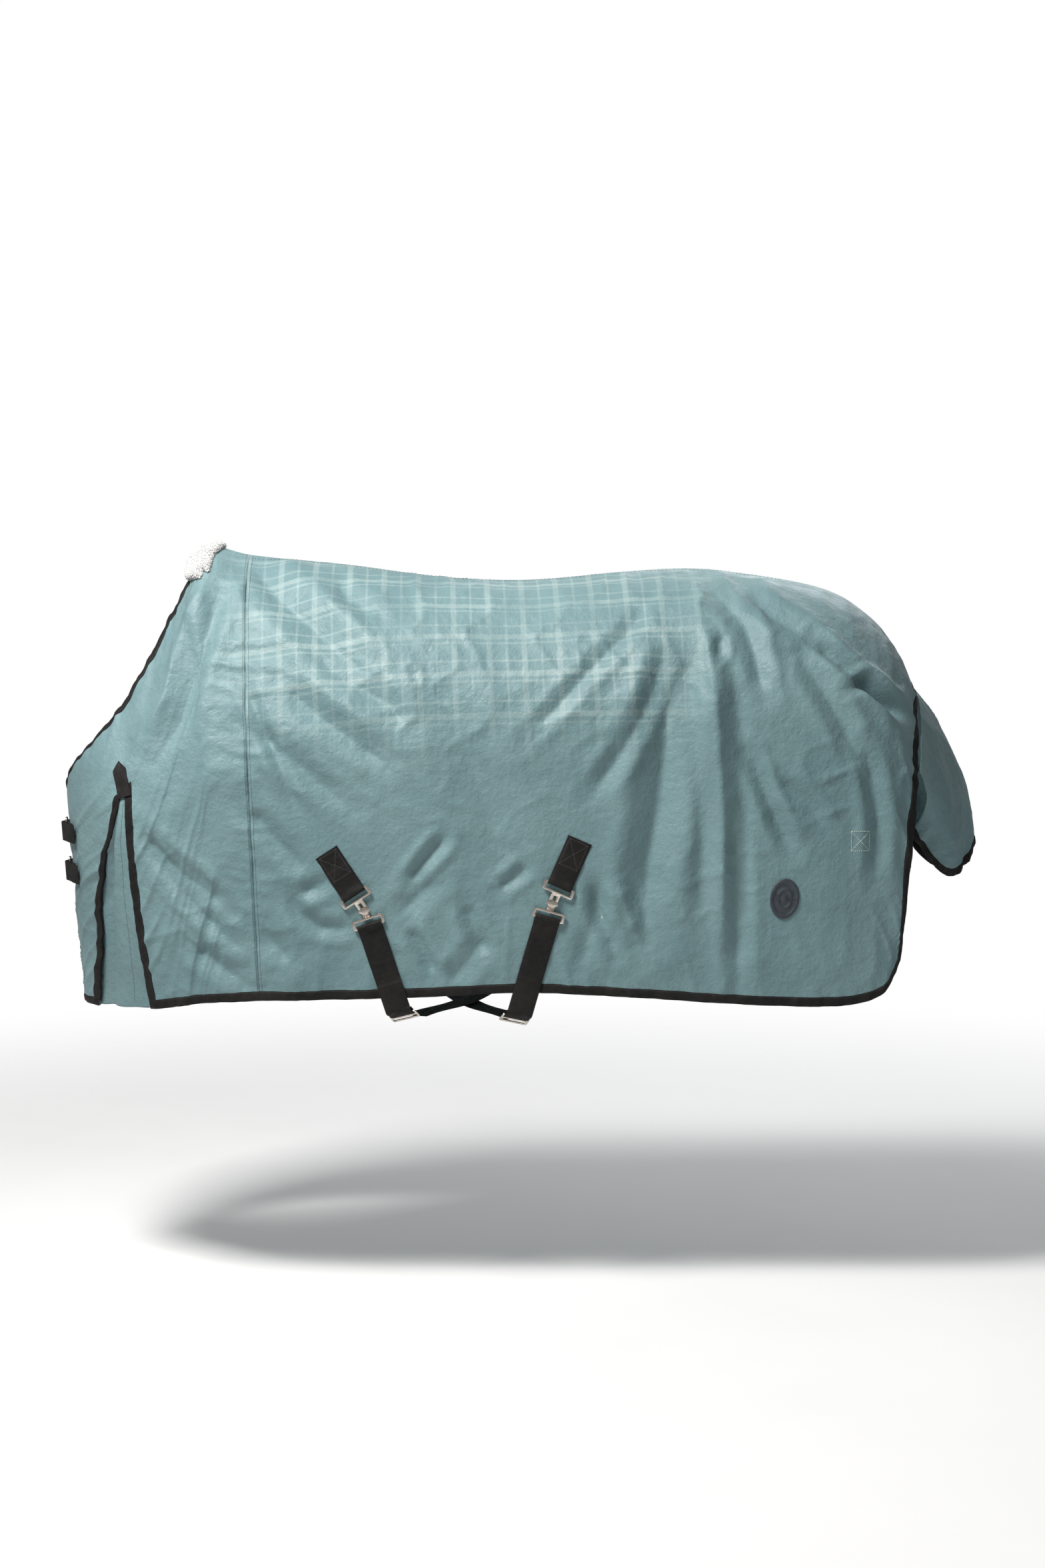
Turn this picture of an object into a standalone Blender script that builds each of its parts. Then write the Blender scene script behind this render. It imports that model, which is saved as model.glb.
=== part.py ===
"""A turnout rug for a horse, as it hangs when the horse wears it and every strap is done up.

Metres, +Z up. The horse faces -X and its near (left) side faces -Y. The origin lies on the horse's back,
under the lining at the lowest point of the back. Each side of the rug is one smooth drape: lines of cloth
run from the neckline, spine and tail down to the hem, and every sewn piece is placed on that drape.
"""

import math

import bmesh
import bpy
import numpy as np
from mathutils import Matrix, Vector
from mathutils.bvhtree import BVHTree

NEAR, FAR = -1, 1
MM = 0.001

# Overall sizes
BACK_LENGTH = 1.446  # withers to tail, straight along X
DROP = 0.81  # back to hem
HALF_WIDTH = 0.295

# Layers of cloth, as heights above the drape
SHELL = 2.0 * MM
LINING = 1.4 * MM
LAYER_GAP = 0.5 * MM
GUSSET = 1.4 * MM
TAPE = 1.2 * MM
TAPE_WIDTH = 18 * MM
SEWN_GAP = 0.4 * MM
FRONT_OVERLAP = 0.035  # how far each chest edge passes the middle
FRONT_STEP = 0.013  # half the distance between the two chest edges

# Webbing
WEBBING = 1.6 * MM
WEBBING_WIDTH = 50 * MM
RING_WEBBING_WIDTH = 25 * MM

# T hooks: a slotted plate, and a plate with a stud whose cross bar sits over the slot
PLATE = 2.5 * MM
FRAME_WIDTH = WEBBING_WIDTH + 14 * MM
FRAME_LENGTH = 19 * MM
BAR = 4 * MM
LOWER_BAR = 5 * MM
TONGUE_WIDTH = 18 * MM
SLOT_WIDTH = 6 * MM
SLOT_LENGTH = 20 * MM
FRAME_REACH = 21 * MM  # stud to the slotted plate's frame
STUD_REACH = 15 * MM  # stud to the stud plate's frame
ARM_WIDTH = 14 * MM
TILT = 3.0  # degrees that the slotted plate can lift before it meets the stud's head
STUD_RADIUS = 2.25 * MM
PLATE_PLAY = 1.2 * MM
HEAD_LENGTH = 23 * MM
HEAD_WIDTH = 10 * MM
HEAD = 2.5 * MM
CLOTH_CLEARANCE = 0.8 * MM

# Under the belly
SLIDER_LENGTH = WEBBING_WIDTH + 8 * MM
SLIDER_WIDTH = 25 * MM
BELLY_DROP = DROP + 0.045  # back to the straps under the belly
BELLY_LAYER = 6 * MM  # between the two straps where they cross
SLIDER_RISE = 9 * MM  # how far above the belly straps each short strap starts to turn in
SLIDER_TURN = 12 * MM  # radius of that turn
SLIDER_TILT = 50  # degrees that it turns through
SLIDER_LEAD = 10 * MM  # from the turn to the slider's first bar
SLIDER_REACH = 47 * MM  # from the short strap in to the end of the long one

# Tail flap, from the top of the tail
FLAP_GAP = 7 * MM  # behind the rug's own tape
FLAP_ATTACH = 0.42  # share of the rear edge that the flap is sewn to
FLAP_RIDGE = (0.127, -0.318)  # tail root to the flap's tip, in X and Z
FLAP_CORNER = (-0.018, 0.105, -0.285)  # tail root to the flap's lower front corner
FLAP_SAG = 0.072  # how far the free edge hangs below the line from tip to corner
FLAP_BULGE = 0.03

# Chest straps and buckles
CHEST_WEBBING = 38 * MM
CHEST_BAR = 3.5 * MM
CHEST_FRAME_LENGTH = 26 * MM
CHEST_BUCKLE_AT = -0.030  # Y of the buckles
CHEST_LOOP = CHEST_BAR / 2 * 1.45 + 1.2 * MM + WEBBING / 2 + 1.0 * MM
PRONG = 5 * MM
PRONG_THICKNESS = 3 * MM

# Other pieces
BADGE_WIDTH = 57 * MM
BADGE_HEIGHT = 80 * MM
BADGE = 2.2 * MM
FLEECE = 7 * MM
FLEECE_OUTSIDE = 82 * MM
FLEECE_INSIDE = 60 * MM
RING_WIDTH = 34 * MM
RING_DROP = 26 * MM
RING_WIRE = 4 * MM

# Lines of cloth, chest to tail. Each has its top and hem as shares of BACK_LENGTH, HALF_WIDTH and DROP,
# how far down it has turned to hang straight, how round its shoulder is, and how far the belly stands out.
SECTIONS = np.array([
    # top x, y, z           hem x, y, z             turned, roundness, belly
    (-0.636, 0.00, -0.530, -0.617, 0.00, -1.043, 0.50, 2.0, 0.00),  # 0 chest
    (-0.637, 0.20, -0.481, -0.603, 0.34, -1.057, 0.35, 1.8, 0.04),  # 1 breast
    (-0.590, 0.44, -0.383, -0.512, 0.75, -1.044, 0.36, 1.5, 0.05),  # 2 point of the shoulder
    (-0.548, 0.475, -0.289, -0.470, 0.85, -1.031, 0.40, 1.4, 0.05),  # 3 shoulder
    (-0.510, 0.41, -0.158, -0.443, 0.90, -1.022, 0.46, 1.4, 0.05),  # 4 base of the neck
    (-0.469, 0.17, 0.000, -0.415, 0.93, -1.017, 0.50, 1.5, 0.04),  # 5 under the withers
    (-0.4495, 0.00, 0.086, -0.394, 0.95, -1.015, 0.52, 1.65, 0.04),  # 6 withers
    (-0.384, 0.00, 0.065, -0.3575, 0.97, -1.011, 0.50, 1.75, 0.04),  # 7 shoulder seam
    (-0.297, 0.00, 0.048, -0.290, 0.98, -1.009, 0.46, 1.85, 0.05),  # 8 girth
    (-0.138, 0.00, 0.015, -0.138, 1.00, -1.001, 0.42, 2.0, 0.05),  # 9 saddle
    (0.000, 0.00, 0.000, 0.000, 1.00, -0.990, 0.40, 2.0, 0.05),  # 10 back
    (0.1487, 0.00, 0.022, 0.1487, 0.98, -1.002, 0.36, 2.1, 0.05),  # 11 loin
    (0.2766, 0.00, 0.022, 0.2766, 0.965, -1.018, 0.34, 2.2, 0.04),  # 12 croup
    (0.415, 0.00, -0.018, 0.401, 0.93, -1.028, 0.36, 2.2, 0.04),  # 13 hip
    (0.484, 0.00, -0.085, 0.463, 0.88, -1.022, 0.42, 2.1, 0.04),  # 14 rump
    (0.5256, 0.00, -0.173, 0.498, 0.84, -0.994, 0.50, 2.0, 0.03),  # 15 thigh
    (0.5505, 0.00, -0.272, 0.5187, 0.81, -0.920, 0.62, 2.0, 0.02),  # 16 tail
])
SEAM, TAIL = 7, 16
FLEECE_START = 0.50  # where the fleece takes over from the neck tape, between the columns at 4.6 and 5.2

FLEECE_MEET = 0.78  # how far short of the top each half of the pad stops, between 6.0 and 5.6

# The slit over the shoulder gusset: down the line from its tab, the sections of its two edges
SLIT_TOP = 0.27
SLIT_DOWN = (0.27, 0.42, 0.58, 0.75, 1.0)
SLIT_FRONT = (2.55, 1.80, 1.50, 1.40, 1.15)
SLIT_REAR = (2.67, 2.42, 2.22, 2.10, 2.00)
TAB_WIDTH = 28 * MM
TAB_LENGTH = 76 * MM

# The cloth's grid. The rows and columns beside an edge lie one tape width in from it.
ROWS = (0.0, 0.02, 0.10, 0.19, SLIT_TOP, 0.40, 0.54, 0.68, 0.83, 0.98, 1.0)
CHEST_COLUMNS = 4
SHOULDER_TOPS = (2.67, 2.8, 3.4, 4.0, 4.6, 5.2, 5.6, 6.0, 7.0)
BODY_COLUMNS = 15

# Surcingles on the near side, in the side view: shares of BACK_LENGTH and DROP
SURCINGLES = {
    "front": {
        "stud": (-0.2140, -0.787),
        "tab_angle": 56.8,
        "strap_angle": 72.0,
        "slider_x": -0.1432,
        "far_x": -0.011,
        "layer": 0,
    },
    "rear": {
        "stud": (0.0399, -0.770),
        "tab_angle": 113.8,
        "strap_angle": 106.0,
        "slider_x": -0.0111,
        "far_x": -0.1432,
        "layer": 1,
    },
}
TAB_REACH = 0.136  # stud to the top of the sewn tab
STEP_REACH = 0.112  # stud to the end of the strap's sewn loop
LOOP_LAP = 0.055  # how far a webbing loop's under layer runs back
FAR_SEWN_TOP = 0.60  # share of DROP where the far ends are sewn
CHEST_STRAPS = {"upper": 0.625, "lower": 0.725}  # distances below the back, as shares of DROP
LEG_RING = (0.4592, -0.651)  # where the leg strap's ring is sewn, in the side view
BADGE_AT = (0.356, -0.762)
BADGE_TILT = -8

COLOURS = {
    "shell": ((0.19, 0.34, 0.35), 0.55, 0.0),
    "lining": ((0.55, 0.60, 0.58), 0.8, 0.0),
    "binding": ((0.018, 0.017, 0.017), 0.75, 0.0),
    "webbing": ((0.012, 0.011, 0.011), 0.7, 0.0),
    "metal": ((0.72, 0.62, 0.54), 0.3, 1.0),
    "fleece": ((0.85, 0.85, 0.86), 0.95, 0.0),
    "badge": ((0.03, 0.035, 0.045), 0.5, 0.0),
}


# ---------------------------------------------------------------- the drape

def section(u):
    """The section values at u, on a smooth curve through the listed ones."""
    last = len(SECTIONS) - 1
    u = min(max(u, 0.0), float(last))
    i = min(int(u), last - 1)
    t = u - i
    before = SECTIONS[max(i - 1, 0)]
    here = SECTIONS[i]
    after = SECTIONS[i + 1]
    beyond = SECTIONS[min(i + 2, last)]
    return 0.5 * (
        2 * here
        + (after - before) * t
        + (2 * before - 5 * here + 4 * after - beyond) * t * t
        + (3 * here - before - 3 * after + beyond) * t ** 3
    )


def half_section(values, share):
    """How far out and how far down a section is, where share runs 0 to 1 round its corner and to 2 below."""
    turned, roundness = values[6], values[7]
    if share < 1:
        angle = share * math.pi / 2
        out = math.sin(angle) ** (2 / roundness)
        return out, turned * (1 - math.cos(angle) ** (2 / roundness))
    return 1.0, turned + (share - 1) * (1 - turned)


CORNER_SHARES = [k / 14 for k in range(15)] + [2.0]
MEASURED = {}


def measured_section(u):
    """The section's values, and its length at each of CORNER_SHARES as a share of the whole."""
    if u not in MEASURED:
        values = section(u)
        width = (values[4] - values[1]) * HALF_WIDTH
        depth = (values[2] - values[5]) * DROP
        points = [half_section(values, share) for share in CORNER_SHARES]
        lengths = [0.0]
        for (out0, down0), (out1, down1) in zip(points, points[1:]):
            step = math.hypot((out1 - out0) * width, (down1 - down0) * depth)
            lengths.append(lengths[-1] + step)
        MEASURED[u] = values, [length / lengths[-1] for length in lengths]
    return MEASURED[u]


def drape(u, v, side):
    """The point at section u and share v of the way down, on one side of the horse."""
    values, lengths = measured_section(u)
    top_x, top_y, top_z, hem_x, hem_y, hem_z, turned, roundness, belly = values
    out, down = half_section(values, float(np.interp(v, lengths, CORNER_SHARES)))
    width = (hem_y - top_y) * HALF_WIDTH
    x = (top_x + (hem_x - top_x) * down) * BACK_LENGTH
    y = top_y * HALF_WIDTH + width * out + belly * HALF_WIDTH * math.sin(math.pi * down) * out
    z = (top_z - (top_z - hem_z) * down) * DROP
    lap = max(0.0, 1 - u) ** 2  # the near chest edge laps over the far one
    y -= FRONT_OVERLAP * lap
    x += side * FRONT_STEP * lap
    return Vector((x, side * y, z))


def drape_normal(u, v, side):
    """Unit vector out of the horse at (u, v)."""
    step = 0.004
    u = min(max(u, step), TAIL - step)
    v = min(max(v, step), 1 - step)
    along = drape(u + step, v, side) - drape(u - step, v, side)
    down = drape(u, v + step, side) - drape(u, v - step, side)
    return (along.cross(down) * side).normalized()


def solved(distance, target, low, high):
    """Where a rising distance reaches its target, between low and high."""
    for _ in range(30):
        middle = (low + high) / 2
        if distance(middle) < target:
            low = middle
        else:
            high = middle
    return (low + high) / 2


def row(u, j, side, width=TAPE_WIDTH):
    """Share of the way down for row j of the grid at section u."""
    if j == 1:
        edge = drape(u, 0, side)
        return solved(lambda v: (drape(u, v, side) - edge).length, width, 0, 0.3)
    if j == len(ROWS) - 2:
        edge = drape(u, 1, side)
        return 1 - solved(lambda v: (drape(u, 1 - v, side) - edge).length, width, 0, 0.3)
    return ROWS[j]


def beside(edge, direction, v, side):
    """The section one tape width away from the section of an edge."""
    point = drape(edge, v, side)
    return edge + direction * solved(
        lambda gap: (drape(edge + direction * gap, v, side) - point).length, TAPE_WIDTH, 0, 1.2
    )


def slit(v, edge):
    return float(np.interp(max(v, SLIT_TOP), SLIT_DOWN, edge))


def chest_sections(v, side):
    """Sections of the grid columns from the chest edge to the front of the slit."""
    end = slit(v, SLIT_FRONT)
    first, last = beside(0.0, 1, v, side), beside(end, -1, v, side)
    return [0.0] + list(np.linspace(first, last, CHEST_COLUMNS)) + [end]


def shoulder_sections(v, side):
    start = slit(v, SLIT_REAR)
    shares = [(top - SHOULDER_TOPS[0]) / (SEAM - SHOULDER_TOPS[0]) for top in SHOULDER_TOPS]
    columns = [start + (SEAM - start) * share for share in shares]
    columns[1] = beside(start, 1, v, side)
    columns[2] = max(columns[2], columns[1] + 0.15)
    return columns


def body_sections(v, side):
    last = beside(float(TAIL), -1, v, side)
    shares = [1 - (1 - k / (BODY_COLUMNS - 1)) ** 1.15 for k in range(BODY_COLUMNS)]
    return [SEAM + (last - SEAM) * share for share in shares] + [float(TAIL)]


def grid_of(sections, side):
    """Columns of (point, normal), from the sections of each row."""
    rows = [sections(v, side) for v in ROWS]
    return [
        [
            (drape(rows[j][i], row(rows[j][i], j, side), side),
             drape_normal(rows[j][i], row(rows[j][i], j, side), side))
            for j in range(len(ROWS))
        ]
        for i in range(len(rows[0]))
    ]


def front_grid(side):
    """The whole front, and the cells that the slit leaves open."""
    grid = grid_of(lambda v, side: chest_sections(v, side) + shoulder_sections(v, side), side)
    first_open = ROWS.index(SLIT_TOP)
    cells = [(CHEST_COLUMNS + 1, j) for j in range(first_open, len(ROWS) - 1)]
    return grid, cells


FRONTS = {side: front_grid(side) for side in (NEAR, FAR)}
BODIES = {side: grid_of(body_sections, side) for side in (NEAR, FAR)}


def side_trees(side):
    """The drape of one side as a smooth tree, and the cloth's own facets as another."""
    columns = [i * 0.1 for i in range(int(TAIL / 0.1) + 1)]
    rows = [j / 60 for j in range(61)]
    smooth = [drape(u, v, side) for u in columns for v in rows]
    whole = FRONTS[side][0] + BODIES[side][1:]
    facets = [point for column in whole for point, _ in column]
    trees = []
    for points, wide, count in ((smooth, len(columns), len(rows)), (facets, len(whole), len(ROWS))):
        faces = []
        for i in range(wide - 1):
            for j in range(count - 1):
                a = i * count + j
                faces += [(a, a + count, a + count + 1), (a, a + count + 1, a + 1)]
        trees.append(BVHTree.FromPolygons(points, faces))
    return trees


TREES = {side: side_trees(side) for side in (NEAR, FAR)}


def laid(x, z, side):
    """Point on the cloth where a side view shows (x, z), and the drape's outward normal."""
    start, ray = Vector((x, side * 2.0, z)), Vector((0, -side, 0))
    smooth, facets = TREES[side]
    point = facets.ray_cast(start, ray)[0]
    normal = smooth.find_nearest(point)[1]
    if normal.y * side < 0:
        normal = -normal
    return point, normal


def laid_front(y, z, side):
    """Point on the chest where a front view shows (y, z), and the outward normal."""
    start, ray = Vector((-3.0, y, z)), Vector((1, 0, 0))
    point, normal, _, _ = TREES[side][0].ray_cast(start, ray)
    return point, normal if normal.x < 0 else -normal


# ---------------------------------------------------------------- making solids

def clear_scene():
    for obj in list(bpy.data.objects):
        bpy.data.objects.remove(obj)


def make_materials():
    made = {}
    for name, (colour, roughness, metallic) in COLOURS.items():
        material = bpy.data.materials.new(name)
        material.use_nodes = True
        shader = material.node_tree.nodes["Principled BSDF"]
        shader.inputs["Base Color"].default_value = (*colour, 1)
        shader.inputs["Roughness"].default_value = roughness
        shader.inputs["Metallic"].default_value = metallic
        made[name] = material
    return made


def add_mesh(name, points, faces, material, pivot=Vector()):
    """A closed mesh with its faces turned outwards and its origin at the pivot."""
    mesh = bpy.data.meshes.new(name)
    built = bmesh.new()
    verts = [built.verts.new(point - pivot) for point in points]
    for face in faces:
        built.faces.new([verts[i] for i in face])
    bmesh.ops.recalc_face_normals(built, faces=built.faces)
    built.to_mesh(mesh)
    built.free()
    mesh.shade_smooth()
    mesh.set_sharp_from_angle(angle=math.radians(40))
    mesh.materials.append(material)
    obj = bpy.data.objects.new(name, mesh)
    obj.location = pivot
    bpy.context.scene.collection.objects.link(obj)
    return obj


def thick_sheet(name, grid, low, high, material, left_out=(), pivot=Vector()):
    """A sheet from a grid of (point, normal), between two heights. left_out holds cells cut away."""
    columns, rows = len(grid), len(grid[0])
    inside = columns * rows
    points = []
    for height in (high, low):
        points += [point + normal * height for column in grid for point, normal in column]
    kept = {(i, j) for i in range(columns - 1) for j in range(rows - 1)} - set(left_out)
    faces = []
    for i, j in sorted(kept):
        ring = ((i, j), (i + 1, j), (i + 1, j + 1), (i, j + 1))
        a, b, c, d = (x * rows + y for x, y in ring)
        faces += [(a, b, c), (a, c, d)]
        faces += [(c + inside, b + inside, a + inside), (d + inside, c + inside, a + inside)]
        for k, cell in enumerate(((i, j - 1), (i + 1, j), (i, j + 1), (i - 1, j))):
            if cell not in kept:
                e, f = ((a, b, c, d)[k], (a, b, c, d)[(k + 1) % 4])
                faces.append((e, f, f + inside, e + inside))
    used = sorted({i for face in faces for i in face})
    new = {old: k for k, old in enumerate(used)}
    faces = [[new[i] for i in face] for face in faces]
    return add_mesh(name, [points[i] for i in used], faces, material, pivot)


def swept(name, rings, material, pivot=Vector(), closed=False):
    """A solid from rings of points, one for each station, with flat ends unless it closes on itself."""
    size, count = len(rings[0]), len(rings)
    points = [point for ring in rings for point in ring]
    faces = []
    if not closed:
        faces = [list(range(size)), [len(points) - size + k for k in reversed(range(size))]]
    for i in range(count if closed else count - 1):
        for k in range(size):
            beyond, after = (i + 1) % count * size, (k + 1) % size
            faces.append([i * size + k, i * size + after, beyond + after, beyond + k])
    return add_mesh(name, points, faces, material, pivot)


def ribbon(name, path, across, width, material, pivot=Vector(), thickness=WEBBING):
    """Webbing along a path, with a vector across it at each point."""
    rings = []
    for i, point in enumerate(path):
        ahead = path[min(i + 1, len(path) - 1)] - path[max(i - 1, 0)]
        sideways = across[i].normalized()
        out = ahead.cross(sideways).normalized()
        a, b = sideways * width / 2, out * thickness / 2
        rings.append([point + a + b, point - a + b, point - a - b, point + a - b])
    return swept(name, rings, material, pivot)


def edge_tape(name, stations, material, diagonal, pivot=Vector(), layers=(SHELL, LAYER_GAP + LINING)):
    """Tape folded round an edge. A station is (edge, its normal, inner point, its normal).

    The diagonal says which way the cloth's facets are split, so that the tape lies flat on them.
    """
    over, under = layers[0] + 1.5 * SEWN_GAP, -(layers[1] + 1.5 * SEWN_GAP)
    out = SEWN_GAP + TAPE
    points, faces = [], []
    for edge, edge_normal, inner, inner_normal in stations:
        back = (edge - inner).normalized()
        points += [
            inner + inner_normal * over, inner + inner_normal * (over + TAPE),
            edge + back * out + edge_normal * (over + TAPE),
            edge + back * out + edge_normal * (under - TAPE),
            inner + inner_normal * (under - TAPE), inner + inner_normal * under,
            edge + back * SEWN_GAP + edge_normal * under, edge + back * SEWN_GAP + edge_normal * over,
        ]
    is_edge = (False, False, True, True, False, False, True, True)
    for i in range(len(stations) - 1):
        for k in range(8):
            a, b = i * 8 + k, i * 8 + (k + 1) % 8
            if is_edge[k] == diagonal:
                faces += [(a, b, b + 8), (a, b + 8, a + 8)]
            else:
                faces += [(a, b, a + 8), (b, b + 8, a + 8)]
    end = (len(stations) - 1) * 8
    for start in (0, end):
        faces += [[start + k for k in quad] for quad in ((0, 1, 2, 7), (7, 2, 3, 6), (6, 3, 4, 5))]
    return add_mesh(name, points, faces, material, pivot)


def tape_stations(edge, inner):
    return [(a, b, c, d) for (a, b), (c, d) in zip(edge, inner)]


def trimmed(stations, first=0.0, last=0.0):
    """Stations with each end moved along the edge by a length."""
    stations = list(stations)
    for end, after, gap in ((0, 1, first), (-1, -2, last)):
        if gap:
            here, there = stations[end], stations[after]
            share = gap / (there[0] - here[0]).length
            stations[end] = tuple(a.lerp(b, share) for a, b in zip(here, there))
    return stations


def frame_at(point, normal, direction):
    """Matrix of a local frame: x across, y along the direction, z out of the cloth."""
    out = normal.normalized()
    along = (direction - out * direction.dot(out)).normalized()
    across = along.cross(out)
    return Matrix((
        (across.x, along.x, out.x, point.x),
        (across.y, along.y, out.y, point.y),
        (across.z, along.z, out.z, point.z),
        (0, 0, 0, 1),
    ))


def round_box(x0, x1, y0, y1, radius, steps=3):
    """Outline of a rectangle with round corners."""
    outline = []
    corners = ((x1, y1, 0), (x0, y1, 90), (x0, y0, 180), (x1, y0, 270))
    for x, y, start in corners:
        cx = x - radius if x == x1 else x + radius
        cy = y - radius if y == y1 else y + radius
        for k in range(steps + 1):
            angle = math.radians(start + 90 * k / steps)
            outline.append((cx + radius * math.cos(angle), cy + radius * math.sin(angle)))
    return outline


def oval(length, width, steps=20):
    turn = [2 * math.pi * k / steps for k in range(steps)]
    return [(length / 2 * math.cos(a), width / 2 * math.sin(a)) for a in turn]


def prism(name, outline, low, high, frame, material):
    """A plate with an outline in the frame's x and y. low and high may be functions of y."""
    rings = []
    for height in (low, high):
        rings.append([
            frame @ Vector((x, y, height(y) if callable(height) else height)) for x, y in outline
        ])
    return swept(name, rings, material)


def joined(name, added, cut, material, pivot=Vector()):
    """One solid: the first of the added ones with the others united, and with the cut ones taken off."""
    base = added[0]
    for other, operation in [(o, "UNION") for o in added[1:]] + [(o, "DIFFERENCE") for o in cut]:
        modifier = base.modifiers.new("join", "BOOLEAN")
        modifier.operation = operation
        modifier.solver = "EXACT"
        modifier.object = other
    graph = bpy.context.evaluated_depsgraph_get()
    shape = base.evaluated_get(graph).to_mesh()
    points = [vertex.co.copy() for vertex in shape.vertices]
    faces = [list(polygon.vertices) for polygon in shape.polygons]
    for other in added + cut:
        bpy.data.objects.remove(other)
    return add_mesh(name, points, faces, material, pivot)


# ---------------------------------------------------------------- the cloth

def pulled_in(grid, side, first=0.0, last=0.0, top=0.0):
    """The grid with its end columns and the spine row moved into the cloth by a gap."""
    grid = [list(column) for column in grid]
    for i, j, gap in ((0, 1, first), (-1, -2, last)):
        if gap:
            grid[i] = [
                (point + (inner - point).normalized() * gap, normal)
                for (point, normal), (inner, _) in zip(grid[i], grid[j])
            ]
    for column in grid:
        point, normal = column[0]
        if abs(point.y) < top:
            column[0] = (point + Vector((0, side * top, 0)), normal)
    return grid


def make_cloth(side, word, material):
    front, cells = FRONTS[side]
    body = BODIES[side]
    seam = SEWN_GAP
    thick_sheet(
        f"front_shell_{word}", pulled_in(front, side, last=seam, top=seam), 0, SHELL,
        material["shell"], cells,
    )
    thick_sheet(
        f"body_shell_{word}", pulled_in(body, side, first=seam, top=seam), 0, SHELL, material["shell"]
    )
    lining = pulled_in(front, side, top=seam) + pulled_in(body, side, top=seam)[1:]
    thick_sheet(
        f"lining_{word}", lining, -LAYER_GAP - LINING, -LAYER_GAP, material["lining"], cells
    )


def make_gusset(side, word, material):
    """The cloth behind the slit, which lets the shoulder move."""
    rows = [v for v in ROWS if v >= SLIT_TOP]
    lap = 0.12  # sections that it passes under each edge
    grid = []
    for share in np.linspace(0, 1, 5):
        column = []
        for v in rows:
            low, high = slit(v, SLIT_FRONT) - lap, slit(v, SLIT_REAR) + lap
            u = low + (high - low) * share
            column.append((drape(u, v, side), drape_normal(u, v, side)))
        grid.append(column)
    top = -(LAYER_GAP + LINING + 2 * SEWN_GAP + TAPE + 4 * MM)
    thick_sheet(f"shoulder_gusset_{word}", grid, top - GUSSET, top, material["shell"])


def make_gusset_tab(side, word, material):
    """The pointed piece of webbing that locks the top of the slit."""
    u = (slit(0, SLIT_FRONT) + slit(0, SLIT_REAR)) / 2
    low = drape(u, SLIT_TOP, side)
    high = drape(u, SLIT_TOP - 0.1, side)
    frame = frame_at(low, drape_normal(u, SLIT_TOP, side), high - low)
    base = SHELL + 2 * SEWN_GAP + TAPE + 0.6 * MM
    y0, y1 = -0.30 * TAB_LENGTH, 0.70 * TAB_LENGTH
    half, shoulder = TAB_WIDTH / 2, y1 - 0.24 * TAB_LENGTH
    outline = [(-half, y0), (half, y0), (half, shoulder), (0, y1), (-half, shoulder)]
    prism(f"gusset_tab_{word}", outline, base, base + WEBBING, frame, material["webbing"])


def make_tapes(side, word, material):
    tape = material["binding"]
    front, body = FRONTS[side][0], BODIES[side]
    whole = front + body[1:]
    hems = [(column[-1], column[-2]) for column in whole]
    tops = [(column[0], column[1]) for column in whole]
    slit_column = CHEST_COLUMNS + 1
    fleece_column = slit_column + 1 + SHOULDER_TOPS.index(5.2)

    neck = [(*a, *b) for a, b in tops[: fleece_column + 1]]
    run = (neck[-1][0] - neck[-2][0]).length
    edge_tape(f"neck_tape_{word}", trimmed(neck, last=run * (1 - FLEECE_START)), tape, True)
    chest = tape_stations(whole[0], whole[1])[1:-1]
    edge_tape(f"chest_tape_{word}", trimmed(chest, first=3 * MM, last=3 * MM), tape, True)
    chest_hem = [(*a, *b) for a, b in hems[: slit_column + 1]]
    edge_tape(f"chest_hem_tape_{word}", chest_hem, tape, False)
    body_hem = [(*a, *b) for a, b in hems[slit_column + 1:]]
    edge_tape(f"hem_tape_{word}", body_hem, tape, False)
    rear = tape_stations(whole[-1], whole[-2])[:-1]
    edge_tape(f"rear_tape_{word}", trimmed(rear, first=3 * MM, last=3 * MM), tape, False)
    first_open = ROWS.index(SLIT_TOP)
    for name, edge, inner in (
        ("front", slit_column, slit_column - 1), ("rear", slit_column + 1, slit_column + 2)
    ):
        strand = tape_stations(whole[edge][first_open:-1], whole[inner][first_open:-1])
        edge_tape(
            f"gusset_{name}_tape_{word}", trimmed(strand, first=4 * MM, last=3 * MM), tape,
            name == "rear",
        )


def fleece_line(column):
    """The pad's edge, middle, outer and inner points on one column of the cloth, each with its normal."""
    (edge, normal), (near, near_normal), (far, far_normal) = column[:3]
    line = [(edge, normal)]
    for reach in (TAPE_WIDTH, FLEECE_OUTSIDE, FLEECE_INSIDE):
        share = (reach - TAPE_WIDTH) / (far - near).length
        line.append((near.lerp(far, share), near_normal.lerp(far_normal, share).normalized()))
    return line


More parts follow.
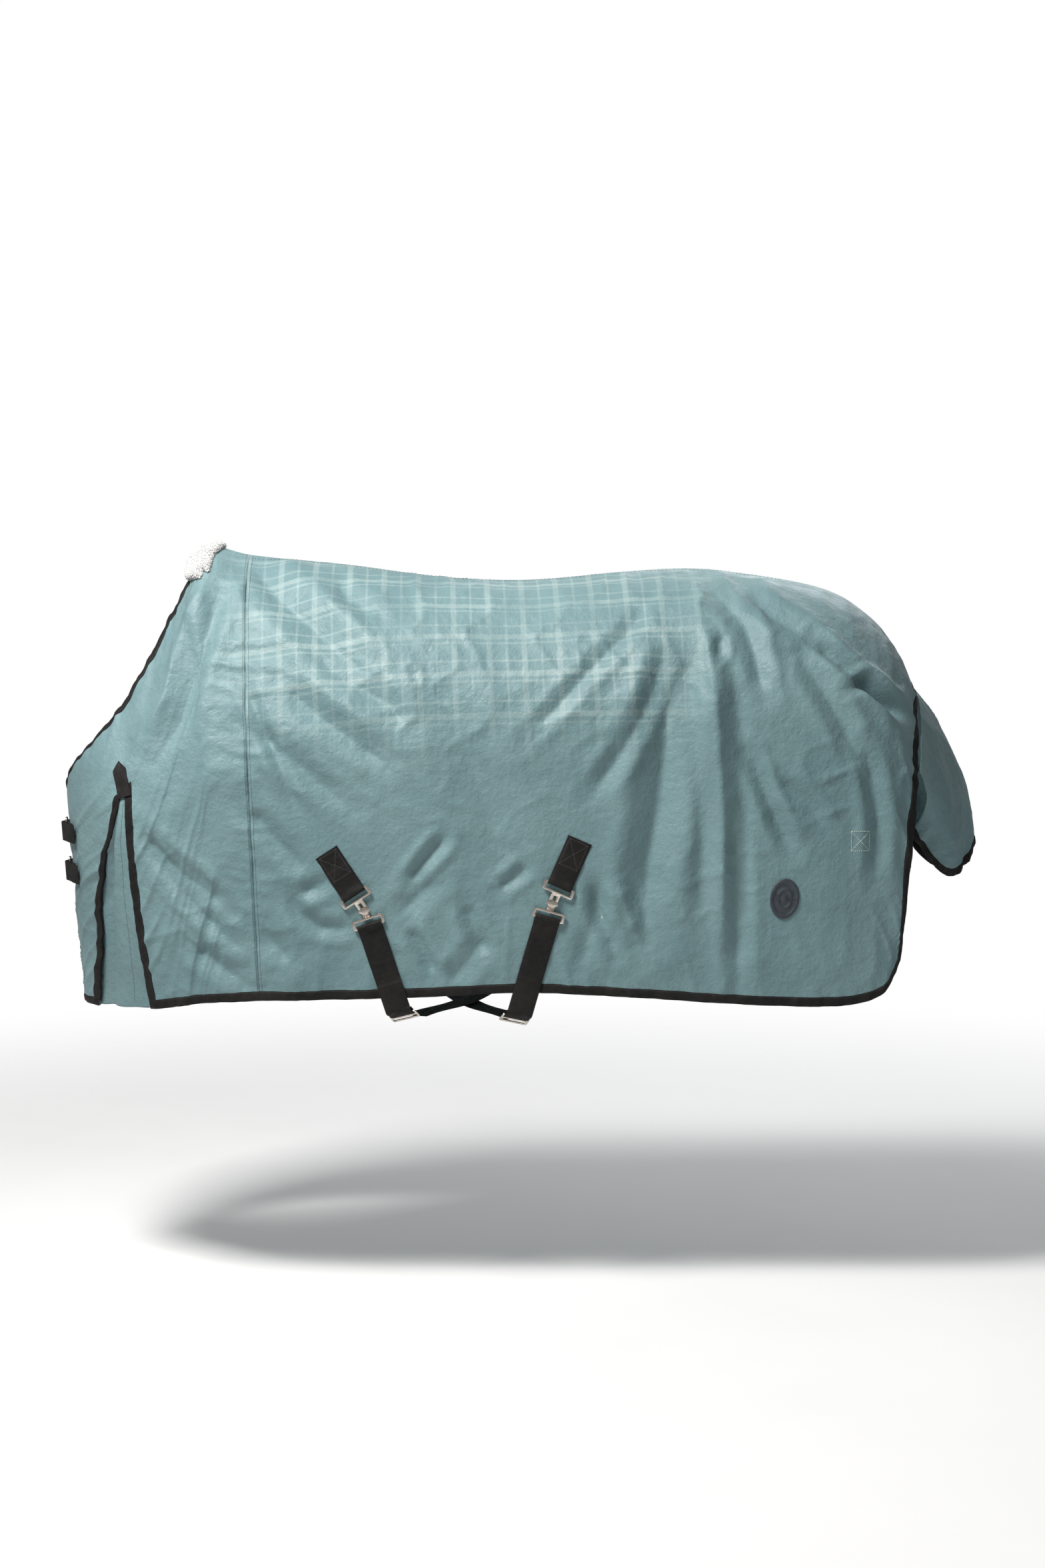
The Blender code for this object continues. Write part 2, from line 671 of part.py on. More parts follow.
def make_fleece(side, word, material):
    """One half of the wither pad, folded over the neckline. The halves meet at the top."""
    at = CHEST_COLUMNS + 2 + SHOULDER_TOPS.index(4.6)
    lines = [fleece_line(column) for column in FRONTS[side][0][at:at + 4]]
    for i, other, share in ((0, 1, FLEECE_START + 0.12), (3, 2, FLEECE_MEET)):
        lines[i] = [
            (a.lerp(b, share), c.lerp(d, share).normalized())
            for (a, c), (b, d) in zip(lines[i], lines[other])
        ]
    over = SHELL + 3 * MM
    under = LAYER_GAP + LINING + 3 * MM
    rings = []
    for (edge, normal), (middle, between), (outer, outward), (inner, inward) in lines:
        ahead = (edge - outer).normalized()
        rings.append([
            outer + outward * over, outer + outward * (over + 0.6 * FLEECE),
            middle + between * (over + FLEECE),
            edge + normal * (over + FLEECE), edge + ahead * (FLEECE + 3 * MM),
            edge - normal * (under + FLEECE), inner - inward * (under + 0.6 * FLEECE),
            inner - inward * under, edge + ahead * 2.5 * MM - normal * under,
            edge + ahead * 2.5 * MM + normal * over, middle + between * over,
        ])
    swept(f"wither_pad_{word}", rings, material["fleece"])


def flap_point(w, t, gap=0.0):
    """Point of the tail flap: w runs from the near side (-1) to the far (1), t from seam to free edge."""
    side = NEAR if w < 0 else FAR
    seam = drape(TAIL, abs(w) * FLAP_ATTACH, side) + Vector((FLAP_GAP, 0, 0))
    root = drape(TAIL, 0, NEAR) + Vector((FLAP_GAP, 0, 0))
    tip = root + Vector((FLAP_RIDGE[0], 0, FLAP_RIDGE[1]))
    corner = root + Vector((FLAP_CORNER[0], side * FLAP_CORNER[1], FLAP_CORNER[2]))
    share = abs(w) ** 1.6
    edge = tip.lerp(corner, share)
    edge.y = side * FLAP_CORNER[1] * math.sin(abs(w) * math.pi / 2)
    edge.z -= FLAP_SAG * math.sin(math.pi * abs(w) ** 1.3)
    point = seam.lerp(edge, t)
    point.x += FLAP_BULGE * 4 * t * (1 - t) * (1 - 0.3 * abs(w))
    return point


def make_flap(material):
    """The tail flap. It turns about a line through the top of the tail."""
    pivot = flap_point(0, 0)
    columns = np.linspace(-1, 1, 25)
    rows = (0.0, 0.12, 0.28, 0.46, 0.64, 0.82, 0.945, 1.0)
    step = 0.01
    grid = []
    for w in columns:
        column = []
        for t in rows:
            a, b = max(w - step, -1), min(w + step, 1)
            c, d = max(t - step, 0), min(t + step, 1)
            across = flap_point(b, t) - flap_point(a, t)
            down = flap_point(w, d) - flap_point(w, c)
            normal = down.cross(across).normalized()
            column.append((flap_point(w, t), normal))
        grid.append(column)
    thick_sheet("tail_flap", grid, -SHELL / 2, SHELL / 2, material["shell"], pivot=pivot)
    stations = [(*column[-1], *column[-2]) for column in grid]
    edge_tape(
        "tail_flap_tape", stations, material["binding"], False, pivot, (SHELL / 2 + 0.2 * MM,) * 2
    )


# ---------------------------------------------------------------- surcingles

LOOP = BAR / 2 + PLATE_PLAY + WEBBING / 2  # radius of webbing round a bar
LOWER_LOOP = LOWER_BAR / 2 + PLATE_PLAY + WEBBING / 2
HOOK = SHELL + CLOTH_CLEARANCE + WEBBING / 2 + LOWER_LOOP  # height of the plates above the drape
SEWN = SHELL + SEWN_GAP + WEBBING / 2 + 0.4 * MM
DOUBLED = SEWN + WEBBING + SEWN_GAP


def looped(start, bar, radius, lap, height, low, high):
    """Profile of a webbing end: distance along and height, down to a bar, round it, and back under."""
    profile = [(start, low), (bar + lap + 8 * MM, low), (bar + lap, high), (bar + 14 * MM, high)]
    for k in range(7):
        angle = math.radians(90 + 30 * k)
        profile.append((bar + radius * math.cos(angle), height + radius * math.sin(angle)))
    profile += [(bar + 14 * MM, low), (bar + lap - 4 * MM, low)]
    return profile


def split(profile, longest=24 * MM):
    """The profile with its long steps divided, so that it can follow the cloth."""
    finer = [profile[0]]
    for (s0, h0), (s1, h1) in zip(profile, profile[1:]):
        count = max(1, math.ceil(abs(s1 - s0) / longest))
        finer += [(s0 + (s1 - s0) * k / count, h0 + (h1 - h0) * k / count) for k in range(1, count + 1)]
    return finer


def over_cloth(profile, x, z, angle, side):
    """Puts a profile on the cloth along a line in the side view. Returns points and vectors across."""
    dx, dz = math.cos(math.radians(angle)), math.sin(math.radians(angle))
    path, across = [], []
    for along, height in split(profile):
        point, normal = laid(x + dx * along, z + dz * along, side)
        path.append(point + normal * height)
        across.append(Vector((dx, 0, dz)).cross(normal))
    return path, across


def make_surcingle(name, size, material):
    x, z = size["stud"][0] * BACK_LENGTH, size["stud"][1] * DROP
    point, normal = laid(x, z, NEAR)
    up = Vector((-math.cos(math.radians(size["tab_angle"])), 0, math.sin(math.radians(size["tab_angle"]))))
    down = Vector((math.cos(math.radians(size["strap_angle"])), 0, -math.sin(math.radians(size["strap_angle"]))))
    tab_frame, strap_frame = frame_at(point, normal, up), frame_at(point, normal, down)
    bar = FRAME_REACH + FRAME_LENGTH - BAR / 2

    profile = looped(TAB_REACH, bar, LOOP, LOOP_LAP, HOOK, SEWN, DOUBLED)
    path, across = over_cloth(profile, x, z, 180 - size["tab_angle"], NEAR)
    ribbon(f"{name}_surcingle_tab", path, across, WEBBING_WIDTH, material["webbing"])
    make_slot_plate(f"{name}_slot_plate", tab_frame, bar, material)
    stud = strap_frame @ Vector((0, 0, HOOK))
    make_stud_plate(f"{name}_stud_plate", strap_frame, stud, material)
    make_lower_strap(name, size, x, z, strap_frame, stud, material)
    make_belly_strap(name, size, material)


def make_slot_plate(name, frame, bar, material):
    """The slotted plate. It tilts about the bar that the sewn tab holds."""
    half = FRAME_WIDTH / 2
    low, high = HOOK - PLATE / 2, HOOK + PLATE / 2
    metal = material["metal"]
    top = FRAME_REACH + FRAME_LENGTH
    tongue = TONGUE_WIDTH / 2
    outline = [(tongue * math.cos(a), tongue * math.sin(a)) for a in np.linspace(math.pi, 2 * math.pi, 9)]
    outline += [(tongue, FRAME_REACH + BAR / 2), (-tongue, FRAME_REACH + BAR / 2)]
    added = [
        prism("rim", round_box(-half, half, FRAME_REACH, top, 4 * MM), low, high, frame, metal),
        prism("tongue", outline, low + 0.1 * MM, high - 0.1 * MM, frame, metal),
    ]
    window = round_box(-half + 5.5 * MM, half - 5.5 * MM, FRAME_REACH + BAR, top - BAR, 1.5 * MM)
    slot = round_box(
        -SLOT_WIDTH / 2, SLOT_WIDTH / 2, -SLOT_WIDTH / 2, SLOT_LENGTH - SLOT_WIDTH / 2, 2.9 * MM, 4
    )
    cut = [
        prism("window", window, low - MM, high + MM, frame, metal),
        prism("slot", slot, low - MM, high + MM, frame, metal),
    ]
    joined(name, added, cut, metal, frame @ Vector((0, bar, HOOK)))


def make_stud_plate(name, frame, pivot, material):
    """The plate with the stud: an arm under the slotted plate, stepped up to a frame."""
    metal = material["metal"]
    half = FRAME_WIDTH / 2
    arm_height = HOOK - PLATE - 0.7 * MM
    end = STUD_REACH + FRAME_LENGTH
    arm = ARM_WIDTH / 2
    step = (0.72 * STUD_REACH, STUD_REACH)

    def middle(y):
        return float(np.interp(y, step, (arm_height, HOOK)))

    rings = []
    thick = PLATE / 2 - 0.1 * MM
    for y in (-arm + MM, -0.55 * arm, 0.23 * arm, step[0], step[1], STUD_REACH + 0.6 * BAR):
        w = math.sqrt(max(arm ** 2 - y ** 2, (0.3 * arm) ** 2)) if y < 0 else arm
        rings.append([
            frame @ Vector((a, y, middle(y) + b))
            for a, b in ((w, thick), (-w, thick), (-w, -thick), (w, -thick))
        ])
    low, high = HOOK - PLATE / 2, HOOK + PLATE / 2
    head_low = HOOK + PLATE / 2 + 2.9 * MM
    added = [
        prism("rim", round_box(-half, half, STUD_REACH, end, 4 * MM), low, high, frame, metal),
        swept("arm", rings, metal),
        prism("neck", oval(2 * STUD_RADIUS, 2 * STUD_RADIUS, 14), arm_height + 0.3 * MM, head_low + MM, frame, metal),
        prism("head", oval(HEAD_LENGTH, HEAD_WIDTH), head_low, head_low + HEAD, frame, metal),
    ]
    window = round_box(
        -half + 5.5 * MM, half - 5.5 * MM, STUD_REACH + BAR, end - LOWER_BAR, 1.5 * MM
    )
    cut = [prism("window", window, low - MM, high + MM, frame, metal)]
    joined(name, added, cut, metal, pivot)


def under_belly(size):
    return -BELLY_DROP - size["layer"] * BELLY_LAYER


def make_lower_strap(name, size, x, z, frame, stud, material):
    """The strap from the stud plate to the slider below the hem, and the slider."""
    bar = STUD_REACH + FRAME_LENGTH - LOWER_BAR / 2
    angle = -size["strap_angle"]
    dx, dz = math.cos(math.radians(angle)), math.sin(math.radians(angle))
    bottom = under_belly(size) + SLIDER_RISE
    profile = looped(0, bar, LOWER_LOOP, STEP_REACH - bar, HOOK, SEWN, DOUBLED)[2:]
    profile = list(reversed(profile))
    path, across = over_cloth(profile, x, z, angle, NEAR)
    tape = SHELL + 2 * SEWN_GAP + TAPE + WEBBING / 2 + 1.0 * MM
    down = (z - laid_hem(x, angle, z)) / -dz
    reach = STEP_REACH + 8 * MM
    below, sideways = over_cloth(
        [
            (reach, SEWN), (down - TAPE_WIDTH - 16 * MM, SEWN), (down - TAPE_WIDTH - 8 * MM, tape),
            (down - 2 * MM, tape),
        ],
        x, z, angle, NEAR,
    )
    path += below
    across += sideways
    turn = SLIDER_TURN
    last = path[-1]
    run = (last.z - bottom - turn) / -dz
    inwards = Vector((dx, -dz, 0)).normalized()
    heading = Vector((dx, 0, dz))
    corner = last + heading * run
    for k in range(1, 6):
        a = math.radians(SLIDER_TILT / 5 * k)
        path.append(corner + heading * turn * math.sin(a) + inwards * turn * (1 - math.cos(a)))
        across.append(across_of(heading * math.cos(a) + inwards * math.sin(a), a))
    ahead = (heading * math.cos(a) + inwards * math.sin(a)).normalized()
    up = Vector((0, math.cos(a), math.sin(a)))
    up = (up - ahead * up.dot(ahead)).normalized()
    sideways = across_of(ahead, a)
    centre = path[-1] + ahead * SLIDER_LEAD + up * LOOP
    path.append(centre - up * LOOP)
    across.append(sideways)
    for k in range(1, 7):
        a = math.radians(-90 + 30 * k)
        path.append(centre + ahead * LOOP * math.cos(a) + up * LOOP * math.sin(a))
        across.append(sideways)
    path.append(centre - ahead * 11 * MM + up * LOOP)
    across.append(sideways)
    ribbon(f"{name}_lower_strap", path, across, WEBBING_WIDTH, material["webbing"], stud)
    slider = frame_at(centre, up, ahead)
    make_slider(f"{name}_slider", slider, stud, material)


def across_of(heading, angle):
    """Vector across a strap that is turning under the belly."""
    out = Vector((0, -math.cos(angle), -math.sin(angle)))
    return heading.cross(out)


def laid_hem(x, angle, z):
    """Height of the hem where the strap crosses it."""
    dx, dz = math.cos(math.radians(angle)), math.sin(math.radians(angle))
    low = 0.0
    while laid_or_none(x + dx * low, z + dz * low):
        low += MM
    return z + dz * low


def laid_or_none(x, z):
    return TREES[NEAR][1].ray_cast(Vector((x, -2.0, z)), Vector((0, 1, 0)))[0]


def make_slider(name, frame, pivot, material):
    metal = material["metal"]
    half = SLIDER_LENGTH / 2
    y0, y1 = -BAR / 2, SLIDER_WIDTH - BAR / 2
    middle = (y0 + y1) / 2
    low, high = -PLATE / 2, PLATE / 2
    added = [prism("rim", round_box(-half, half, y0, y1, 3 * MM), low, high, frame, metal)]
    cut = []
    for a, b in ((y0 + BAR, middle - BAR / 2), (middle + BAR / 2, y1 - BAR)):
        window = round_box(-half + 3.4 * MM, half - 3.4 * MM, a, b, 1.2 * MM)
        cut.append(prism("window", window, low - MM, high + MM, frame, metal))
    joined(name, added, cut, metal, pivot)


def make_belly_strap(name, size, material):
    """The strap sewn to the far side, which runs under the belly and ends beside the slider."""
    bottom = under_belly(size)
    turn = 22 * MM
    far_x, near_x = size["far_x"] * BACK_LENGTH, size["slider_x"] * BACK_LENGTH
    point, _ = laid(far_x, -0.97 * DROP, FAR)
    wide = point.y + SEWN
    near_y = -(wide - SLIDER_REACH)
    slope = (far_x - near_x) / (wide - turn - near_y)
    path, across = [], []
    tape = SHELL + 2 * SEWN_GAP + TAPE + WEBBING / 2 + 0.9 * MM
    hem = -0.99 * DROP
    heights = list(np.linspace(-FAR_SEWN_TOP * DROP, hem + TAPE_WIDTH + 16 * MM, 12))
    over_tape = [(hem + TAPE_WIDTH + 6 * MM, tape), (hem + 4 * MM, tape)]
    for z, height in [(z, SEWN) for z in heights] + over_tape:
        x = far_x + (z - bottom) * slope
        point, normal = laid(x, z, FAR)
        path.append(point + normal * height)
        across.append(Vector((slope, 0, 1)).cross(normal))
    last = path[-1]
    corner = Vector((far_x + turn * slope, last.y, bottom + turn))
    for k in range(6):
        a = math.radians(18 * k)
        along = turn * a
        path.append(corner + Vector((
            -slope * along, -turn * (1 - math.cos(a)), -turn * math.sin(a)
        )))
        across.append(Vector((1, math.sin(a) * slope * -1, math.cos(a) * slope * -1)))
    start = path[-1]
    end = Vector((start.x - slope * (start.y - near_y), near_y, bottom))
    for share in np.linspace(0.1, 1.0, 10):
        sag = -0.013 * math.sin(math.pi * share) ** 2
        path.append(start.lerp(end, share) + Vector((0, 0, sag)))
        across.append(Vector((1, -slope, 0)))
    ribbon(f"{name}_belly_strap", path, across, WEBBING_WIDTH, material["webbing"])


# ---------------------------------------------------------------- the chest

def make_chest_strap(name, height, material):
    """A strap sewn to the far side, through a buckle that hangs in a chape on the near side."""
    z = -height * DROP
    at = laid_front(CHEST_BUCKLE_AT, z, NEAR)
    frame = frame_at(at[0], at[1], Vector((0, -1, 0)))
    bar = 10 * MM
    toe = bar - CHEST_FRAME_LENGTH
    lift = SHELL + TAPE + CLOTH_CLEARANCE + WEBBING / 2 + CHEST_LOOP + 1.2 * MM
    make_chape(f"chest_chape_{name}", frame, bar, lift, z, material)
    make_buckle(f"chest_buckle_{name}", frame, bar, toe, lift, material)
    make_prong(f"chest_prong_{name}", frame, bar, toe, lift, material)
    make_tongue(f"chest_strap_{name}", frame, bar, toe, lift, z, material)


def cloth_height(frame, point, normal, height):
    """A point above the cloth, in a local frame."""
    return frame.inverted() @ (point + normal * height)


def make_chape(name, frame, bar, lift, z, material):
    """The doubled webbing that holds the buckle, with a slot for the prong."""
    out = SHELL + SEWN_GAP + WEBBING / 2 + 0.4 * MM
    path = []
    for y in (-0.115, -0.100, -0.085, -0.070):
        point, normal = laid_front(CHEST_BUCKLE_AT + y + 0.03, z, NEAR)
        path.append(cloth_height(frame, point, normal, out))
    low = [Vector((0, p.y, p.z)) for p in path]
    top = [Vector((0, p.y, p.z + (WEBBING + SEWN_GAP) * (k > 0))) for k, p in enumerate(low)]
    rounded = [
        Vector((0, bar + CHEST_LOOP * math.cos(a), lift + CHEST_LOOP * math.sin(a)))
        for a in np.radians(np.linspace(90, 270, 7))
    ]
    top.append(Vector((0, bar + 14 * MM, lift + 0.6 * CHEST_LOOP)))
    under = [Vector((0, bar + 14 * MM, lift - CHEST_LOOP))] + low[:0:-1]
    centre = [frame @ p for p in top + rounded + under[:-1]]
    sideways = [frame.to_3x3() @ Vector((1, 0, 0))] * len(centre)
    body = ribbon("body", centre, sideways, CHEST_WEBBING, material["webbing"])
    half = PRONG / 2 + 1.2 * MM
    slot = prism(
        "slot", round_box(-half, half, bar - 3 * CHEST_LOOP, bar + 9 * MM, 2 * MM),
        lift - 3 * CHEST_LOOP, lift + 3 * CHEST_LOOP, frame, material["webbing"],
    )
    joined(name, [body], [slot], material["webbing"])


def make_buckle(name, frame, bar, toe, lift, material):
    metal = material["metal"]
    half = CHEST_WEBBING / 2 + 6 * MM
    edge = CHEST_BAR / 2
    low, high = lift - edge, lift + edge
    rim = prism("rim", round_box(-half, half, toe - edge, bar + edge, 4 * MM), low, high, frame, metal)
    window = round_box(-half + 4 * MM, half - 4 * MM, toe + edge, bar - edge, 2 * MM)
    cut = prism("window", window, low - MM, high + MM, frame, metal)
    joined(name, [rim], [cut], metal)


def make_prong(name, frame, bar, toe, lift, material):
    """The prong: a ring round the buckle's bar and a finger that lies on its toe."""
    metal = material["metal"]
    inner = CHEST_BAR / 2 * 1.45 + 0.3 * MM
    outer = inner + 1.6 * MM
    turned = frame @ Matrix.Translation((0, bar, lift)) @ Matrix.Rotation(math.pi / 2, 4, "Y")
    half = PRONG / 2
    ring = prism("ring", oval(2 * outer, 2 * outer, 16), -half, half, turned, metal)
    hole = prism("hole", oval(2 * inner, 2 * inner, 16), -half - MM, half + MM, turned, metal)
    rings = []
    high = outer - 1.0 * MM
    over_toe = CHEST_BAR / 2 + 0.4 * MM + PRONG_THICKNESS / 2
    for y, h, w in (
        (bar - 1.0 * MM, high, 1.0), (bar - 6 * MM, high, 1.0), (toe + 2 * MM, over_toe + 0.6 * MM, 0.9),
        (toe - 3 * MM, over_toe, 0.6),
    ):
        b, t = half * w * 0.93, PRONG_THICKNESS / 2
        rings.append([frame @ Vector((p, y, lift + h + q)) for p, q in ((b, t), (-b, t), (-b, -t), (b, -t))])
    finger = swept("finger", rings, metal)
    joined(name, [ring, finger], [hole], metal, frame @ Vector((0, bar, lift)))


def make_tongue(name, frame, bar, toe, lift, z, material):
    """The free strap: sewn on the far side, under the toe, over the bar, with its end on the near side."""
    top = lift + CHEST_LOOP + WEBBING + 0.6 * MM
    path = []
    for y in (0.165, 0.145, 0.125, 0.105, 0.092):
        point, normal = laid_front(y, z, FAR)
        path.append(point + normal * (SHELL + SEWN_GAP + WEBBING / 2 + 0.8 * MM))
    point, normal = laid_front(FRONT_OVERLAP - 3 * MM, z, NEAR)
    for y in (FRONT_OVERLAP + 6 * MM, FRONT_OVERLAP - 4 * MM, FRONT_OVERLAP - 20 * MM):
        point, normal = laid_front(min(y, FRONT_OVERLAP - 2 * MM), z, NEAR)
        path.append(point + normal * 8.0 * MM + Vector((0, max(0.0, y - FRONT_OVERLAP), 0)))
    under = lift - CHEST_BAR / 2 - 0.6 * MM - WEBBING / 2
    for y, h in (
        (toe - 16 * MM, under), (toe, under), (toe + 4 * MM, under + MM), (bar - 5 * MM, top - 0.6 * MM),
        (bar, top), (bar + 14 * MM, top),
    ):
        path.append(frame @ Vector((0, y, h)))
    for y in (0.060, 0.075, 0.090, 0.105):
        point, normal = laid_front(CHEST_BUCKLE_AT - y, z, NEAR)
        path.append(point + normal * (SHELL + 2 * WEBBING + 4.4 * MM))
    across = [frame.to_3x3() @ Vector((1, 0, 0))] * len(path)
    body = ribbon("body", path, across, CHEST_WEBBING, material["webbing"])
    half = PRONG / 2 + 1.2 * MM
    hole = prism(
        "hole", round_box(-half, half, toe + 1.5 * MM, bar + 2 * MM, 2 * MM),
        lift - 8 * MM, top + 8 * MM, frame, material["webbing"],
    )
    joined(name, [body], [hole], material["webbing"])


# ---------------------------------------------------------------- inside, and the badge

def make_leg_ring(side, word, material):
    """A D ring for a leg strap, hanging from webbing sewn inside the rug."""
    x, z = LEG_RING[0] * BACK_LENGTH, LEG_RING[1] * DROP
    radius = RING_WIRE / 2 + PLATE_PLAY + WEBBING / 2
    base = LAYER_GAP + LINING + SEWN_GAP + WEBBING / 2 + 0.8 * MM
    height = base + radius + 0.6 * MM
    profile = [(34 * MM, base), (22 * MM, base), (18 * MM, base + WEBBING + SEWN_GAP), (8 * MM, base + 4 * MM)]
    for k in range(7):
        a = math.radians(90 + 30 * k)
        profile.append((radius * math.cos(a), height + radius * math.sin(a)))
    profile += [(8 * MM, base), (16 * MM, base)]
    path, across = [], []
    for along, h in profile:
        point, normal = laid(x, z + along, side)
        path.append(point - normal * h)
        across.append(Vector((0, 0, 1)).cross(normal))
    ribbon(f"leg_ring_tab_{word}", path, across, RING_WEBBING_WIDTH, material["webbing"])
    point, normal = laid(x, z, side)
    frame = frame_at(point - normal * height, -normal, Vector((0, 0, -1)))
    half, drop = RING_WIDTH / 2 - RING_WIRE / 2, RING_DROP
    centre = [(t, 0.0) for t in (-half, 0, half)]
    centre += [(half * math.cos(a), drop * math.sin(a)) for a in np.linspace(0.25, math.pi - 0.25, 9)]
    rings = []
    count = len(centre)
    for i, (px, py) in enumerate(centre):
        bx, by = centre[i - 1]
        ax, ay = centre[(i + 1) % count]
        ahead = Vector((ax - bx, ay - by, 0)).normalized()
        side_out = Vector((-ahead.y, ahead.x, 0))
        rings.append([
            frame @ (Vector((px, py, 0)) + (
                side_out * math.cos(t) + Vector((0, 0, math.sin(t)))
            ) * RING_WIRE / 2)
            for t in np.linspace(0, 2 * math.pi, 8, endpoint=False)
        ])
    swept(
        f"leg_ring_{word}", rings, material["metal"], frame @ Vector((0, 0, 0)), closed=True
    )


def make_badge(material):
    """A round rubber badge with a raised rim, which follows the cloth."""
    x0, z0 = BADGE_AT[0] * BACK_LENGTH, BADGE_AT[1] * DROP
    tilt = math.radians(BADGE_TILT)
    count = 28
    base = SHELL + SEWN_GAP
    steps = ((0.78, BADGE), (0.86, BADGE + 1.2 * MM), (0.97, BADGE + 1.2 * MM), (1.0, BADGE), (1.0, 0.0))

    def at(radius, k, height):
        a = 2 * math.pi * k / count
        ex, ez = BADGE_WIDTH / 2 * radius * math.cos(a), BADGE_HEIGHT / 2 * radius * math.sin(a)
        x = x0 + ex * math.cos(tilt) - ez * math.sin(tilt)
        z = z0 + ex * math.sin(tilt) + ez * math.cos(tilt)
        point, normal = laid(x, z, NEAR)
        return point + normal * (base + height)

    points = [at(radius, k, height) for radius, height in steps for k in range(count)]
    points += [at(0, 0, BADGE), at(0, 0, 0)]
    faces = []
    for ring in range(len(steps) - 1):
        for k in range(count):
            a, b = ring * count + k, ring * count + (k + 1) % count
            faces.append((a, b, b + count, a + count))
    last = (len(steps) - 1) * count
    for k in range(count):
        faces.append((len(points) - 2, k, (k + 1) % count))
        faces.append((len(points) - 1, last + (k + 1) % count, last + k))
    add_mesh("badge", points, faces, material["badge"])


# ---------------------------------------------------------------- the whole rug

def main():
    clear_scene()
    material = make_materials()
    for side, word in ((NEAR, "left"), (FAR, "right")):
        make_cloth(side, word, material)
        make_gusset(side, word, material)
        make_gusset_tab(side, word, material)
        make_tapes(side, word, material)
        make_leg_ring(side, word, material)
        make_fleece(side, word, material)
    make_flap(material)
    for name, size in SURCINGLES.items():
        make_surcingle(name, size, material)
    for name, height in CHEST_STRAPS.items():
        make_chest_strap(name, height, material)
    make_badge(material)


main()
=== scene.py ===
import math

import bmesh
import bpy
import numpy as np
from mathutils import Matrix, Vector
from mathutils.bvhtree import BVHTree


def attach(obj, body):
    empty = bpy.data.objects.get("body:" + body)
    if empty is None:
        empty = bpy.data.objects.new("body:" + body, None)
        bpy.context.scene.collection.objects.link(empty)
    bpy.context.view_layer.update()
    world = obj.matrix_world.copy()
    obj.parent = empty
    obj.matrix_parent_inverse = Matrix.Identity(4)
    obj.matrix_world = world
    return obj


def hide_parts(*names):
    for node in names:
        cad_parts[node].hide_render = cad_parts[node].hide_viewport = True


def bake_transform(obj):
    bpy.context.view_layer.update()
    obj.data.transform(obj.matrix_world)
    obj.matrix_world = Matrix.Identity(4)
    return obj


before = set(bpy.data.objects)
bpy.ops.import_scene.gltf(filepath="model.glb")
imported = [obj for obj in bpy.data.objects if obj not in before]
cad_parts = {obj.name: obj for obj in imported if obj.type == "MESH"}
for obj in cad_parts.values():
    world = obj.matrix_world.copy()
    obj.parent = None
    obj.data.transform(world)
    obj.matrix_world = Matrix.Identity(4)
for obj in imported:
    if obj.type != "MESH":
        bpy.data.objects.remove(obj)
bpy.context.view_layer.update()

# ================================================================ Outer shell
# The shell is a coated polyester weave, cut as a front and a body panel for each side and joined at the
# shoulder and along the spine. It lies on the horse's back and hangs down both sides, and its folds,
# pulls and puckers stand a few millimetres off that drape.

NEAR, FAR = -1, 1
MM = 0.001
BACK_LENGTH, DROP, HALF_WIDTH = 1.446, 0.81, 0.295
FRONT_OVERLAP, FRONT_STEP = 0.035, 0.013
SEAM, TAIL = 7.0, 16.0
SECTIONS = np.array([
    (-0.636, 0.00, -0.530, -0.617, 0.00, -1.043, 0.50, 2.0, 0.00),
    (-0.637, 0.20, -0.481, -0.603, 0.34, -1.057, 0.35, 1.8, 0.04),
    (-0.590, 0.44, -0.383, -0.512, 0.75, -1.044, 0.36, 1.5, 0.05),
    (-0.548, 0.475, -0.289, -0.470, 0.85, -1.031, 0.40, 1.4, 0.05),
    (-0.510, 0.41, -0.158, -0.443, 0.90, -1.022, 0.46, 1.4, 0.05),
    (-0.469, 0.17, 0.000, -0.415, 0.93, -1.017, 0.50, 1.5, 0.04),
    (-0.4495, 0.00, 0.086, -0.394, 0.95, -1.015, 0.52, 1.65, 0.04),
    (-0.384, 0.00, 0.065, -0.3575, 0.97, -1.011, 0.50, 1.75, 0.04),
    (-0.297, 0.00, 0.048, -0.290, 0.98, -1.009, 0.46, 1.85, 0.05),
    (-0.138, 0.00, 0.015, -0.138, 1.00, -1.001, 0.42, 2.0, 0.05),
    (0.000, 0.00, 0.000, 0.000, 1.00, -0.990, 0.40, 2.0, 0.05),
    (0.1487, 0.00, 0.022, 0.1487, 0.98, -1.002, 0.36, 2.1, 0.05),
    (0.2766, 0.00, 0.022, 0.2766, 0.965, -1.018, 0.34, 2.2, 0.04),
    (0.415, 0.00, -0.018, 0.401, 0.93, -1.028, 0.36, 2.2, 0.04),
    (0.484, 0.00, -0.085, 0.463, 0.88, -1.022, 0.42, 2.1, 0.04),
    (0.5256, 0.00, -0.173, 0.498, 0.84, -0.994, 0.50, 2.0, 0.03),
    (0.5505, 0.00, -0.272, 0.5187, 0.81, -0.920, 0.62, 2.0, 0.02),
])
SLIT_TOP = 0.27
SLIT_DOWN = (0.27, 0.42, 0.58, 0.75, 1.0)
SLIT_FRONT = (2.55, 1.80, 1.50, 1.40, 1.15)
SLIT_REAR = (2.67, 2.42, 2.22, 2.10, 2.00)


